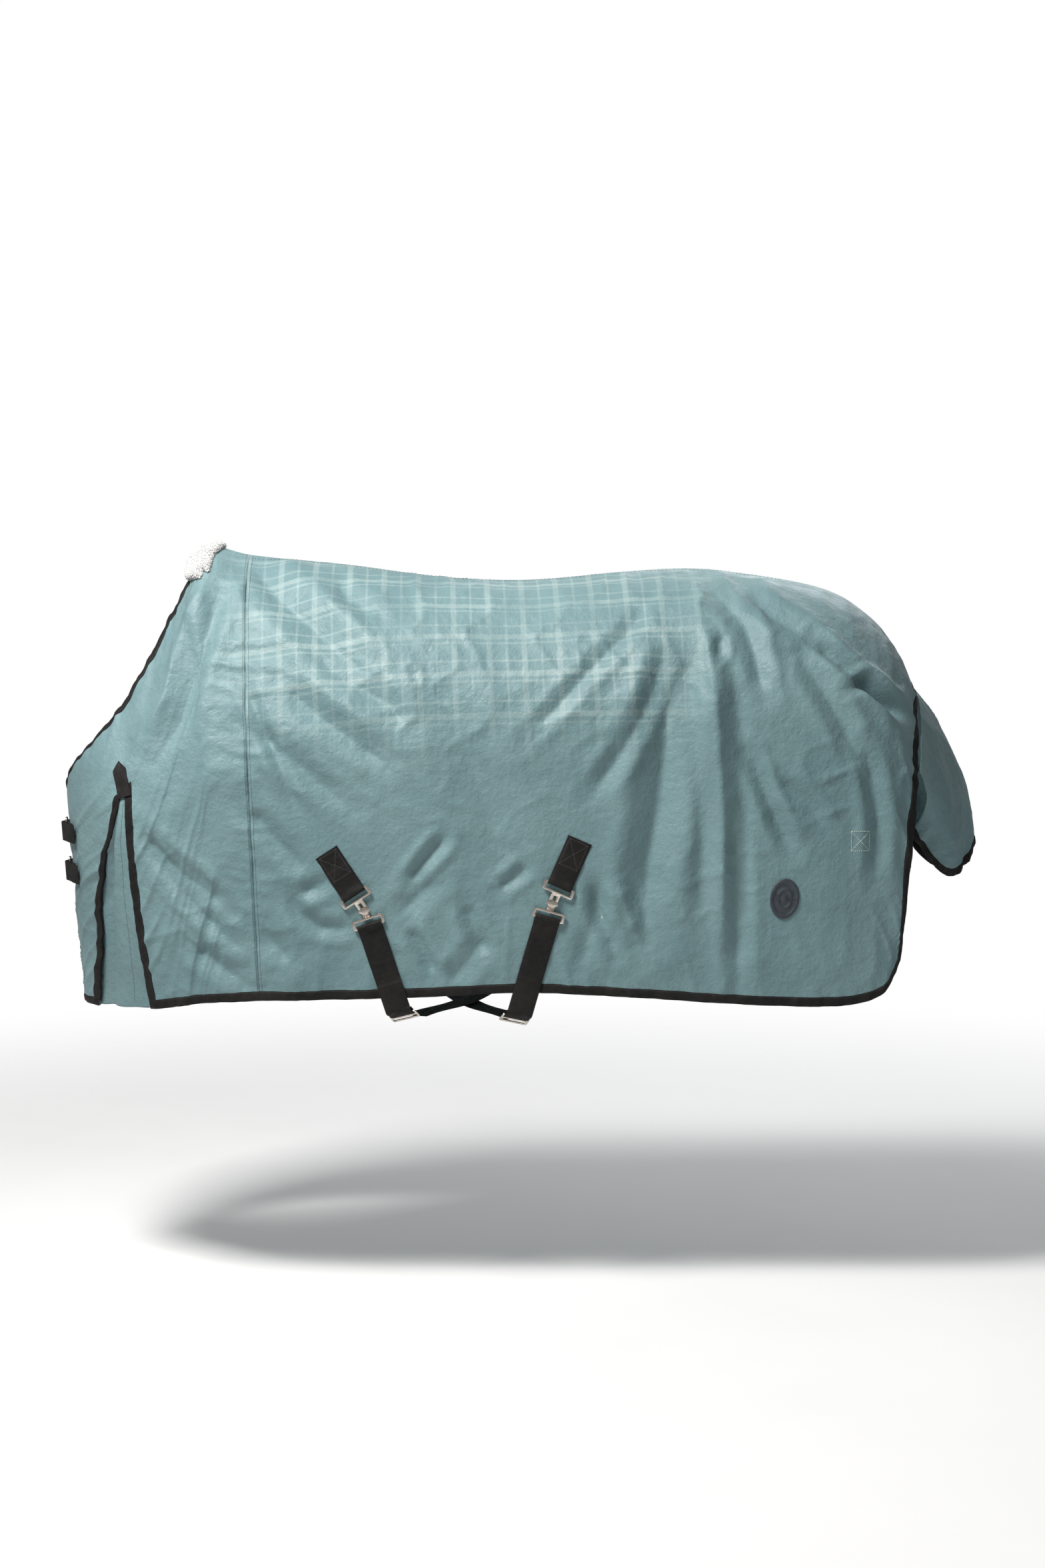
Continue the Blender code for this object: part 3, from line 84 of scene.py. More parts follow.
def sections_at(u):
    """Section values at each u, on a smooth curve through the listed ones."""
    last = len(SECTIONS) - 1
    u = np.clip(u, 0.0, float(last))
    i = np.minimum(u.astype(int), last - 1)
    t = (u - i)[:, None]
    before, here = SECTIONS[np.maximum(i - 1, 0)], SECTIONS[i]
    after, beyond = SECTIONS[i + 1], SECTIONS[np.minimum(i + 2, last)]
    return 0.5 * (
        2 * here + (after - before) * t + (2 * before - 5 * here + 4 * after - beyond) * t * t
        + (3 * here - before - 3 * after + beyond) * t ** 3
    )


def half_sections(turned, roundness, share):
    angle = np.clip(share, 0, 1) * math.pi / 2
    below = np.clip(share - 1, 0, 1)
    out = np.where(share < 1, np.sin(angle) ** (2 / roundness), 1.0)
    cosine = np.clip(np.cos(angle), 0, 1)
    down = turned * (1 - cosine ** (2 / roundness)) + below * (1 - turned)
    return out, np.where(share < 1, down, turned + below * (1 - turned))


def drape(u, v, side):
    """Points of the drape at arrays of u and v, as an array of (x, y, z)."""
    u, v = np.broadcast_arrays(np.asarray(u, float), np.asarray(v, float))
    shape = u.shape
    u, v = u.ravel(), v.ravel()
    s = sections_at(u)
    top_x, top_y, top_z, hem_x, hem_y, hem_z, turned, roundness, belly = s.T
    width, depth = (hem_y - top_y) * HALF_WIDTH, (top_z - hem_z) * DROP
    shares = np.array([k / 14 for k in range(15)] + [2.0])
    out, down = half_sections(turned[:, None], roundness[:, None], shares[None])
    steps = np.hypot(np.diff(out, axis=1) * width[:, None], np.diff(down, axis=1) * depth[:, None])
    run = np.concatenate([np.zeros((len(u), 1)), np.cumsum(steps, axis=1)], axis=1)
    run /= run[:, -1:]
    at = np.clip((run <= v[:, None]).sum(1) - 1, 0, len(shares) - 2)
    rows = np.arange(len(u))
    part = (v - run[rows, at]) / (run[rows, at + 1] - run[rows, at])
    out, down = half_sections(turned, roundness, shares[at] + part * (shares[at + 1] - shares[at]))
    x = (top_x + (hem_x - top_x) * down) * BACK_LENGTH
    y = top_y * HALF_WIDTH + width * out + belly * HALF_WIDTH * np.sin(math.pi * down) * out
    z = (top_z - (top_z - hem_z) * down) * DROP
    lap = np.maximum(0.0, 1 - u) ** 2
    y = y - FRONT_OVERLAP * lap
    x = x + side * FRONT_STEP * lap
    return np.stack([x, side * y, z], axis=1).reshape(*shape, 3)


def drape_normals(u, v, side):
    step = 0.006
    u = np.clip(u, step, TAIL - step)
    v = np.clip(v, step, 1 - step)
    along = drape(u + step, v, side) - drape(u - step, v, side)
    down = drape(u, v + step, side) - drape(u, v - step, side)
    normal = np.cross(along, down) * side
    return normal / np.linalg.norm(normal, axis=-1, keepdims=True)


def unit(vectors):
    return vectors / np.maximum(np.linalg.norm(vectors, axis=-1, keepdims=True), 1e-12)


def soft_noise(points, seed):
    """Smooth noise from -1 to 1 at an array of points, with cells of size 1."""
    points = np.asarray(points, float)
    cell = np.floor(points).astype(np.int64)
    part = points - cell
    part = part * part * (3 - 2 * part)
    total = np.zeros(points.shape[:-1])
    for corner in range(8):
        offset = np.array([(corner >> k) & 1 for k in range(3)])
        a, b, c = np.moveaxis(cell + offset, -1, 0)
        key = (a * 73856093) ^ (b * 19349663) ^ (c * 83492791) ^ (seed * 2654435761)
        key = (key ^ (key >> 13)) * 1274126177
        value = ((key ^ (key >> 16)) & 65535) / 32767.5 - 1
        total += value * np.prod(np.where(offset, part, 1 - part), axis=-1)
    return total


# Folds, as (height in mm, half width in mm, line in the side view). A negative height is a trough.
FOLDS = (
    # from the withers down the shoulder
    (-9, 26, ((-0.558, 0.049), (-0.487, -0.023), (-0.407, -0.092), (-0.331, -0.156), (-0.284, -0.185))),
    # short crease behind the withers
    (-4, 15, ((-0.374, -0), (-0.349, -0.032), (-0.289, -0.069))),
    # shoulder to girth, upper
    (-6, 20, ((-0.428, -0.129), (-0.354, -0.185), (-0.26, -0.232), (-0.217, -0.28))),
    # shoulder to girth, lower
    (-6, 20, ((-0.472, -0.194), (-0.402, -0.256), (-0.331, -0.303), (-0.26, -0.35))),
    # seam to elbow
    (-4, 11, ((-0.558, -0.167), (-0.521, -0.251), (-0.472, -0.36), (-0.426, -0.468))),
    # elbow
    (-5, 18, ((-0.553, -0.28), (-0.496, -0.308), (-0.435, -0.355), (-0.336, -0.44))),
    # loin, short
    (-4, 14, ((0.252, -0.036), (0.202, -0.102), (0.131, -0.173), (0.086, -0.219), (0, -0.312))),
    # loin, long
    (-5, 17, ((0.285, -0.111), (0.259, -0.2), (0.2, -0.32), (0.128, -0.424))),
    # flank trough
    (-11, 34, ((0.347, -0.142), (0.305, -0.182), (0.286, -0.247), (0.277, -0.338),
        (0.264, -0.452), (0.246, -0.552), (0.239, -0.682))),
    # flank crest
    (8, 22, ((0.345, -0.045), (0.362, -0.111), (0.377, -0.2), (0.383, -0.338), (0.396, -0.521),
        (0.398, -0.682))),
    # croup nick
    (-4, 10, ((0.39, -0.102), (0.387, -0.146))),
    # croup to flank
    (-6, 17, ((0.388, -0.027), (0.44, -0.081), (0.457, -0.137), (0.474, -0.224))),
    # croup to quarter
    (-6, 16, ((0.428, -0.013), (0.492, -0.063), (0.557, -0.102), (0.625, -0.164))),
    # quarter, upper
    (-6, 18, ((0.503, -0.134), (0.545, -0.137), (0.588, -0.2), (0.625, -0.265), (0.656, -0.338))),
    # quarter, dark
    (-6, 13, ((0.443, -0.329), (0.474, -0.406), (0.497, -0.466), (0.534, -0.53))),
    # quarter, lower
    (-4, 15, ((0.497, -0.379), (0.552, -0.429), (0.592, -0.484))),
    # quarter, upright
    (-5, 18, ((0.411, -0.448), (0.428, -0.651), (0.428, -0.812))),
    # hip dart
    (-8, 11, ((0.573, -0.102), (0.622, -0.147), (0.672, -0.193), (0.747, -0.262))),
    # hip dart pocket
    (-8, 12, ((0.639, -0.206), (0.673, -0.195), (0.76, -0.272))),
    # neck roll
    (6, 22, ((-0.629, 0.03), (-0.647, -0.035), (-0.676, -0.124), (-0.702, -0.226), (-0.744, -0.305))),
    # neck trough
    (-5, 18, ((-0.608, -0.009), (-0.623, -0.086), (-0.649, -0.174), (-0.679, -0.265),
        (-0.728, -0.357))),
    # breast to elbow, upper
    (-6, 15, ((-0.76, -0.479), (-0.669, -0.565), (-0.579, -0.643))),
    # breast to elbow, lower
    (-5, 14, ((-0.752, -0.51), (-0.669, -0.604), (-0.571, -0.701))),
    # front hem dip
    (-5, 18, ((-0.649, -0.709), (-0.552, -0.78))),
    # under the shoulder seam
    (-6, 18, ((-0.544, -0.432), (-0.474, -0.51), (-0.415, -0.565))),
    # hem ahead of the girth
    (-5, 18, ((-0.521, -0.67), (-0.454, -0.741))),
    # sling below the front tab
    (-5, 14, ((-0.466, -0.612), (-0.428, -0.653), (-0.396, -0.674), (-0.357, -0.677),
        (-0.325, -0.666))),
    # between the tabs
    (-4, 20, ((-0.172, -0.563), (-0.213, -0.617), (-0.254, -0.664))),
    # hem between the tabs
    (-4, 18, ((-0.072, -0.69), (-0.109, -0.747), (-0.146, -0.793))),
    # behind the rear tab
    (-4, 18, ((0.157, -0.552), (0.138, -0.656), (0.112, -0.76))),
    # barrel, long shallow
    (-4, 40, ((-0.187, -0.174), (-0.109, -0.318), (-0.057, -0.474), (-0.044, -0.604))),
    # tail side
    (-5, 16, ((0.672, -0.318), (0.698, -0.448), (0.7, -0.591))),
    # ahead of the front hook
    (-6, 13, ((-0.440, -0.612), (-0.393, -0.591), (-0.349, -0.558))),
    # behind the front hook
    (-6, 12, ((-0.225, -0.580), (-0.190, -0.536), (-0.146, -0.490))),
    # beside the front strap
    (-6, 12, ((-0.285, -0.698), (-0.251, -0.743))),
    # behind the front strap
    (-7, 13, ((-0.226, -0.672), (-0.198, -0.721), (-0.168, -0.775))),
    # between the straps
    (-5, 14, ((-0.113, -0.622), (-0.094, -0.678), (-0.066, -0.728))),
    # ahead of the rear hook
    (-5, 12, ((-0.050, -0.596), (-0.018, -0.574), (0.008, -0.552))),
    # behind the rear hook
    (-7, 14, ((0.134, -0.575), (0.155, -0.656), (0.180, -0.728))),
    # crest beside it
    (5, 14, ((0.188, -0.585), (0.222, -0.684))),
)
# Straps press the cloth flat: (line in the side view, reach in metres)
PRESSED = (
    (((-0.405, -0.505), (-0.31, -0.638), (-0.215, -0.85)), 0.055),
    (((0.125, -0.485), (0.058, -0.624), (0.0, -0.85)), 0.055),
    (((0.515, -0.56), (0.515, -0.67)), 0.045),
    (((-0.95, -0.507), (-0.84, -0.507)), 0.05),
    (((-0.95, -0.588), (-0.84, -0.588)), 0.05),
)


def near_line(x, z, line):
    """Distance from each (x, z) to a line of points, and how far along the line that is, from 0 to 1."""
    best, where = np.full(x.shape, 1e9), np.zeros(x.shape)
    lengths = [math.dist(a, b) for a, b in zip(line, line[1:])]
    run, whole = 0.0, sum(lengths)
    for (ax, az), (bx, bz), length in zip(line, line[1:], lengths):
        t = np.clip(((x - ax) * (bx - ax) + (z - az) * (bz - az)) / length ** 2, 0, 1)
        d = np.hypot(x - ax - t * (bx - ax), z - az - t * (bz - az))
        closer = d < best
        best = np.where(closer, d, best)
        where = np.where(closer, (run + t * length) / whole, where)
        run += length
    return best, where


def relief(points, side):
    """How far the cloth stands off the drape at an array of points, in metres."""
    x, y, z = np.moveaxis(points, -1, 0)
    seed = 3 if side == NEAR else 11
    # warp the lines a little, more on the far side, so that no fold is ruled straight
    shift = 6 * MM if side == NEAR else 30 * MM
    coarse = np.stack([x * 7, z * 7, np.full(x.shape, 0.5)], -1)
    wx = x + shift * soft_noise(coarse, seed)
    wz = z + shift * soft_noise(coarse, seed + 1)
    height = np.zeros(x.shape)
    for k, (depth, width, line) in enumerate(FOLDS):
        reach = width * MM * (1.0 if side == NEAR else (0.9, 1.2, 1.05)[k % 3])
        d, along = near_line(wx, wz, line)
        ends = np.clip(np.minimum(along, 1 - along) / 0.22, 0, 1)
        ends = 0.25 + 0.75 * ends * ends * (3 - 2 * ends)
        fade = np.exp(-np.clip(d - reach * 3.5, 0, None) / (0.5 * reach))
        t = d / reach
        shape = np.exp(-np.abs(t) ** 1.25) - 0.42 * np.exp(-((t - 2.0) / 0.85) ** 2)
        scale = 1.0 if side == NEAR else (1.0, 0.6, 0.9, 0.75)[k % 4]
        height += 2.1 * depth * MM * scale * ends * shape * fade
    # slow swells, then drawn folds that run down the cloth, then creases
    height += 3.2 * MM * soft_noise(np.stack([x * 4.5, y * 2, z * 2.6], -1), seed + 2)
    drawn = soft_noise(np.stack([x * 13 + z * 3, y * 4, z * 5], -1), seed + 3)
    height += 3.4 * MM * drawn * (0.4 + 0.6 * soft_noise(np.stack([x * 2, y, z * 2], -1), seed + 4) ** 2)
    crease = 1 - np.abs(soft_noise(np.stack([x * 16 + z * 9, y * 7, z * 15 - x * 8], -1), seed + 5))
    patch = np.clip(0.5 + soft_noise(np.stack([x * 5, y * 3, z * 5], -1), seed + 6), 0, 1)
    height += 4.2 * MM * (crease ** 7 - 0.15) * patch
    fine = 1 - np.abs(soft_noise(np.stack([x * 34 + z * 10, y * 14, z * 30 + x * 16], -1), seed + 7))
    height += 1.8 * MM * (fine ** 5 - 0.18) * patch
    for line, reach in PRESSED:
        if side == NEAR or line[0][0] < 0.5:
            d, _ = near_line(x, z, line)
            height *= 1 - 0.85 * np.exp(-(d / reach) ** 2)
    return height


def cumulative(grid, axis):
    steps = np.linalg.norm(np.diff(grid, axis=axis), axis=-1)
    run = np.cumsum(steps, axis=axis)
    pad = [(1, 0) if k == axis else (0, 0) for k in range(2)]
    return np.pad(run, pad)


def puckers(points, away, along, seed, height=4.0 * MM, reach=28 * MM, pitch=20 * MM):
    """Small gathers where stitching draws the cloth in, fading away from the seam."""
    wave = soft_noise(np.stack([along / pitch, away / (3 * reach), np.zeros(away.shape)], -1), seed)
    wave += 0.5 * soft_noise(np.stack([along / pitch * 2.3, away / reach, np.ones(away.shape)], -1), seed)
    long = soft_noise(np.stack([along / (2.6 * pitch), away / (6 * reach), np.ones(away.shape)], -1), seed + 1)
    long = 1.6 * (1 - np.abs(long)) ** 3 - 0.4
    dip = -1.2 * MM * np.exp(-(away / (4 * MM)) ** 2)
    spread = long * np.exp(-away / (3.2 * reach)) * (1 - np.exp(-away / (10 * MM)))
    return height * (wave * np.exp(-(away / reach) ** 1.3) + 1.1 * spread) + dip


def cloth_grid(u, v, side, kind, lift=2.0 * MM):
    """Cloth points, normals and measured places (across, down) for a grid of (u, v).

    kind is "front" or "body". Stitching gathers the cloth at its borders and at the front's slit.
    """
    base = drape(u, v, side)
    normals = drape_normals(u, v, side)
    height = relief(base, side)
    down, across = cumulative(base, 1), cumulative(base, 0)
    run = across - across[-1:] if kind == "front" else across
    gathers = [(down, run, 3), (down[:, -1:] - down, run, 4)]
    gathers.append((across, down, 5))
    gathers.append((across[-1:] - across, down, 5 if kind == "front" else 6))
    if kind == "front":
        cut = SLIT_CELL
        for column in (cut, cut + 1):
            away = np.abs(across - across[column:column + 1])
            side_of = (np.arange(len(u)) <= cut) == (column == cut)
            away = np.where(side_of[:, None], away, 0.05) + np.clip(SLIT_TOP - v, 0, 1) * 0.4
            gathers.append((away, down, 7 + column - cut))
    flat = np.ones(u.shape)
    for away, along, seed in gathers:
        height = height + puckers(base, away, along, seed + 20 * (side == FAR))
        flat *= 1 - 0.5 * np.exp(-away / (16 * MM))
    # the front panel's edge is turned under at the shoulder seam and lies proud of the body panel
    if kind == "front":
        height = height + 1.3 * MM * np.exp(-((across[-1:] - across - 5 * MM) / (5 * MM)) ** 4)
    # both sides meet along the spine, so there they share one gentle line
    beside = np.clip(np.abs(base[..., 1]) / 0.07, 0, 1)
    beside = np.where(u < 5.6, 1, beside * beside * (3 - 2 * beside))
    line = np.stack([base[..., 0] * 6, np.zeros(u.shape), np.zeros(u.shape)], -1)
    height = height * flat * beside + (1 - beside) * 3.0 * MM * soft_noise(line, 8)
    points = base + normals * (height + lift)[..., None]
    points[:, 0, 1] = np.where(u[:, 0] > 5.9, 0.0, points[:, 0, 1])
    real = np.cross(np.gradient(points, axis=0), np.gradient(points, axis=1)) * side
    return points, unit(real), np.stack([run, down - base[:, :1, 2]], -1)


def even_sections(first, last, count):
    """Sections from first to last, evenly spaced along the cloth half way down."""
    fine = np.linspace(first, last, 400)
    steps = np.linalg.norm(np.diff(drape(fine, 0.45, NEAR), axis=0), axis=-1)
    run = np.concatenate([[0], np.cumsum(steps)])
    return np.interp(np.linspace(0, run[-1], count), run, fine)


SLIT_CELL = 38


def front_sections(v):
    """Sections of the front panel's columns at each of the rows v, as (columns, rows)."""
    below = np.maximum(v, SLIT_TOP)
    edge, start = np.interp(below, SLIT_DOWN, SLIT_FRONT), np.interp(below, SLIT_DOWN, SLIT_REAR)
    chest = even_sections(0, 2.0, SLIT_CELL + 1) / 2.0
    shoulder = (even_sections(2.2, SEAM, 76) - 2.2) / (SEAM - 2.2)
    return np.concatenate([chest[:, None] * edge[None], start + (SEAM - start) * shoulder[:, None]])


def cloth_object(name, points, uv, left_out=(), thickness=1.1 * MM):
    """A closed sheet from a grid of points, with its weave laid out in metres by a UV map."""
    columns, rows = points.shape[:2]
    index = np.arange(columns * rows).reshape(columns, rows)
    a, b, c, d = index[:-1, :-1], index[1:, :-1], index[1:, 1:], index[:-1, 1:]
    faces = np.stack([a, b, c, d], -1)
    keep = np.ones(faces.shape[:2], bool)
    for i, j in left_out:
        keep[i, j] = False
    faces = faces[keep]
    p = points.reshape(-1, 3)
    turn = np.cross(p[faces[:, 1]] - p[faces[:, 0]], p[faces[:, 3]] - p[faces[:, 0]])
    outward = turn[:, 1] * np.sign(p[faces[:, 0], 1] + 1e-9)
    if outward.sum() < 0:
        faces = faces[:, ::-1]
    used, flat_faces = np.unique(faces, return_inverse=True)
    faces = flat_faces.reshape(faces.shape)
    mesh = bpy.data.meshes.new(name)
    mesh.from_pydata(p[used].tolist(), [], faces.tolist())
    layer = mesh.uv_layers.new(name="weave")
    corners = np.zeros(len(mesh.loops), np.int32)
    mesh.loops.foreach_get("vertex_index", corners)
    layer.data.foreach_set("uv", uv.reshape(-1, 2)[used][corners].astype(np.float32).ravel())
    mesh.shade_smooth()
    obj = bpy.data.objects.new(name, mesh)
    bpy.context.scene.collection.objects.link(obj)
    if thickness:
        wall = obj.modifiers.new("thickness", "SOLIDIFY")
        wall.thickness = thickness
        wall.offset = -1
        apply_modifiers(obj)
    return obj


def apply_modifiers(obj):
    """The object's mesh as its modifiers leave it, with the modifiers gone."""
    bpy.context.view_layer.update()
    done = bpy.data.meshes.new_from_object(obj.evaluated_get(bpy.context.evaluated_depsgraph_get()))
    obj.modifiers.clear()
    old, obj.data = obj.data, done
    done.name = obj.name
    bpy.data.meshes.remove(old)
    return obj


def node(tree, kind, inputs=None, **settings):
    """A shader or geometry node with its settings, and its inputs set or linked."""
    made = tree.nodes.new(kind)
    for name, value in settings.items():
        setattr(made, name, value)
    for name, value in (inputs or {}).items():
        if isinstance(value, bpy.types.NodeSocket):
            tree.links.new(value, made.inputs[name])
        else:
            made.inputs[name].default_value = value
    return made


def sum_of(tree, operation, *values):
    made = node(tree, "ShaderNodeMath", operation=operation)
    for k, value in enumerate(values):
        if isinstance(value, bpy.types.NodeSocket):
            tree.links.new(value, made.inputs[k])
        else:
            made.inputs[k].default_value = value
    return made.outputs[0]


def mixed(tree, share, low, high):
    made = node(tree, "ShaderNodeMix", data_type="RGBA")
    for name, value in ((0, share), (6, low), (7, high)):
        if isinstance(value, bpy.types.NodeSocket):
            tree.links.new(value, made.inputs[name])
        elif name:
            made.inputs[name].default_value = (*value, 1)
        else:
            made.inputs[name].default_value = value
    return made.outputs[2]


def stepped(tree, value, low, high, first=0.0, last=1.0):
    """A value brought from between low and high to between first and last, smoothly."""
    made = node(tree, "ShaderNodeMapRange", {
        "Value": value, "From Min": low, "From Max": high, "To Min": first, "To Max": last,
    }, interpolation_type="SMOOTHSTEP")
    return made.outputs["Result"]


def noise_of(tree, where, scale, detail=2.0, roughness=0.5):
    return node(tree, "ShaderNodeTexNoise", {
        "Vector": where, "Scale": scale, "Detail": detail, "Roughness": roughness,
    }).outputs["Fac"]


def shader_group(name, inputs, outputs):
    """A node group with named sockets, and its input and output nodes."""
    tree = bpy.data.node_groups.new(name, "ShaderNodeTree")
    for label, kind, value in inputs:
        made = tree.interface.new_socket(label, in_out="INPUT", socket_type=kind)
        if value is not None:
            made.default_value = value
    for label, kind in outputs:
        tree.interface.new_socket(label, in_out="OUTPUT", socket_type=kind)
    return tree, tree.nodes.new("NodeGroupInput"), tree.nodes.new("NodeGroupOutput")


def placed(tree, group, inputs):
    made = node(tree, "ShaderNodeGroup", node_tree=group)
    for name, value in inputs.items():
        if isinstance(value, bpy.types.NodeSocket):
            tree.links.new(value, made.inputs[name])
        else:
            made.inputs[name].default_value = value
    return made


FLOAT, VECTOR, COLOUR = "NodeSocketFloat", "NodeSocketVector", "NodeSocketColor"


def plain_weave_group():
    """Threads going over and under each other, and the dark gaps between them."""
    tree, given, out = shader_group(
        "plain weave", [("Place", VECTOR, None), ("Pitch", FLOAT, 0.0012)],
        [("Height", FLOAT), ("Gap", FLOAT)],
    )
    parts = node(tree, "ShaderNodeSeparateXYZ", {"Vector": given.outputs["Place"]})
    turns = sum_of(tree, "DIVIDE", math.pi, given.outputs["Pitch"])
    warp = sum_of(tree, "SINE", sum_of(tree, "MULTIPLY", parts.outputs[0], turns))
    weft = sum_of(tree, "SINE", sum_of(tree, "MULTIPLY", parts.outputs[1], turns))
    over = sum_of(tree, "MULTIPLY", warp, weft)
    ridge = sum_of(tree, "MAXIMUM", sum_of(tree, "ABSOLUTE", warp), sum_of(tree, "ABSOLUTE", weft))
    tree.links.new(sum_of(tree, "MULTIPLY_ADD", over, 0.35, ridge), out.inputs["Height"])
    tree.links.new(stepped(tree, ridge, 0.25, 0.75, 1.0, 0.0), out.inputs["Gap"])
    return tree


def uneven_dye_group():
    """A colour that drifts between two tones, with a fine fleck, as dyed cloth does after use."""
    tree, given, out = shader_group(
        "uneven dye",
        [("Place", VECTOR, None), ("Colour", COLOUR, None), ("Worn", COLOUR, None),
         ("Size", FLOAT, 0.25), ("Fleck", FLOAT, 0.12)],
        [("Colour", COLOUR), ("Drift", FLOAT)],
    )
    where = given.outputs["Place"]
    coarse = noise_of(tree, where, sum_of(tree, "DIVIDE", 1.0, given.outputs["Size"]), 4.0, 0.55)
    drift = stepped(tree, coarse, 0.36, 0.66)
    colour = mixed(tree, drift, given.outputs["Colour"], given.outputs["Worn"])
    fleck = noise_of(tree, where, 420.0, 2.0, 0.6)
    fleck = sum_of(tree, "MULTIPLY", stepped(tree, fleck, 0.45, 0.7), given.outputs["Fleck"])
    tree.links.new(mixed(tree, fleck, colour, (0.02, 0.03, 0.03)), out.inputs["Colour"])
    tree.links.new(drift, out.inputs["Drift"])
    return tree


def check_lines_group():
    """A stable check: a broad band and two thin lines one way, a broad and a thin line the other."""
    tree, given, out = shader_group(
        "stable check", [("Place", VECTOR, None), ("Blur", FLOAT, 0.0015)], [("Lines", FLOAT)],
    )
    parts = node(tree, "ShaderNodeSeparateXYZ", {"Vector": given.outputs["Place"]})

    def line(value, repeat, at, half):
        moved = sum_of(tree, "SUBTRACT", value, at)
        near = sum_of(tree, "ABSOLUTE", sum_of(tree, "WRAP", moved, repeat / 2, -repeat / 2))
        low = sum_of(tree, "SUBTRACT", near, half)
        share = sum_of(tree, "DIVIDE", low, given.outputs["Blur"])
        return sum_of(tree, "SUBTRACT", 1.0, node(tree, "ShaderNodeClamp", {"Value": share}).outputs[0])

    across, down = parts.outputs[0], parts.outputs[1]
    bands = [
        line(down, 0.085, 0.0, 0.005), line(down, 0.085, 0.016, 0.0012), line(down, 0.085, 0.057, 0.0012),
        line(across, 0.069, 0.0, 0.0045), line(across, 0.069, 0.0345, 0.0012),
    ]
    total = sum_of(tree, "MULTIPLY", bands[0], 0.7)
    for band, weight in zip(bands[1:], (0.55, 0.55, 0.6, 0.5)):
        total = sum_of(tree, "MULTIPLY_ADD", band, weight, total)
    tree.links.new(node(tree, "ShaderNodeClamp", {"Value": total}).outputs[0], out.inputs["Lines"])
    return tree


PLAIN_WEAVE, UNEVEN_DYE, CHECK_LINES = plain_weave_group(), uneven_dye_group(), check_lines_group()


def new_material(name, **fixed):
    """A material with constants set on its shader. Returns it, its tree and its shader."""
    material = bpy.data.materials.new(name)
    material.use_nodes = True
    tree = material.node_tree
    shader = tree.nodes["Principled BSDF"]
    for label, value in fixed.items():
        shader.inputs[label.replace("_", " ").title().replace("Ior", "IOR")].default_value = value
    return material, tree, shader


def bumped(tree, shader, height, distance, strength=1.0, under=None):
    made = node(tree, "ShaderNodeBump", {"Height": height, "Distance": distance, "Strength": strength})
    if under:
        tree.links.new(under, made.inputs["Normal"])
    tree.links.new(made.outputs["Normal"], shader.inputs["Normal"])
    return made.outputs["Normal"]


def shell_material(name, checked):
    material, tree, shader = new_material(name, sheen_weight=0.05, sheen_roughness=0.4, specular_ior_level=0.42)
    here = node(tree, "ShaderNodeTexCoord")
    flat = node(tree, "ShaderNodeUVMap", uv_map="weave").outputs[0]
    dye = placed(tree, UNEVEN_DYE, {
        "Place": here.outputs["Object"], "Colour": (0.138, 0.232, 0.250, 1),
        "Worn": (0.172, 0.276, 0.292, 1), "Size": 0.3, "Fleck": 0.14,
    })
    weave = placed(tree, PLAIN_WEAVE, {"Place": flat, "Pitch": 0.0011})
    gaps = sum_of(tree, "MULTIPLY", weave.outputs["Gap"], 0.30)
    colour = mixed(tree, gaps, dye.outputs[0], (0.035, 0.095, 0.10))
    if checked:
        lines = placed(tree, CHECK_LINES, {"Place": flat, "Blur": 0.0022}).outputs[0]
        parts = node(tree, "ShaderNodeSeparateXYZ", {"Vector": here.outputs["Object"]})
        # the check fades out down the side, and towards the tail and the shoulder
        above = stepped(tree, parts.outputs[2], -0.42, -0.12)
        ahead = stepped(tree, parts.outputs[0], 0.46, 0.20)
        behind = stepped(tree, parts.outputs[0], -0.68, -0.44)
        seen = sum_of(tree, "MULTIPLY", above, sum_of(tree, "MULTIPLY", ahead, behind))
        patches = stepped(tree, noise_of(tree, here.outputs["Object"], 7.0, 3.0), 0.30, 0.60, 0.35, 1.0)
        seen = sum_of(tree, "MULTIPLY", sum_of(tree, "MULTIPLY", seen, patches), 0.27)
        colour = mixed(tree, sum_of(tree, "MULTIPLY", lines, seen), colour, (0.62, 0.70, 0.66))
    tree.links.new(colour, shader.inputs["Base Color"])
    rough = stepped(tree, noise_of(tree, here.outputs["Object"], 24.0, 3.0), 0.3, 0.7, 0.46, 0.60)
    tree.links.new(rough, shader.inputs["Roughness"])
    broad = noise_of(tree, here.outputs["Object"], 14.0, 5.0, 0.62)
    broad = sum_of(tree, "ABSOLUTE", sum_of(tree, "SUBTRACT", broad, 0.5))
    creases = sum_of(tree, "MULTIPLY_ADD", noise_of(tree, here.outputs["Object"], 85.0, 4.0, 0.6), 0.22, broad)
    under = bumped(tree, shader, creases, 0.011, 0.6)
    bumped(tree, shader, weave.outputs["Height"], 0.00012, 0.7, under)
    return material


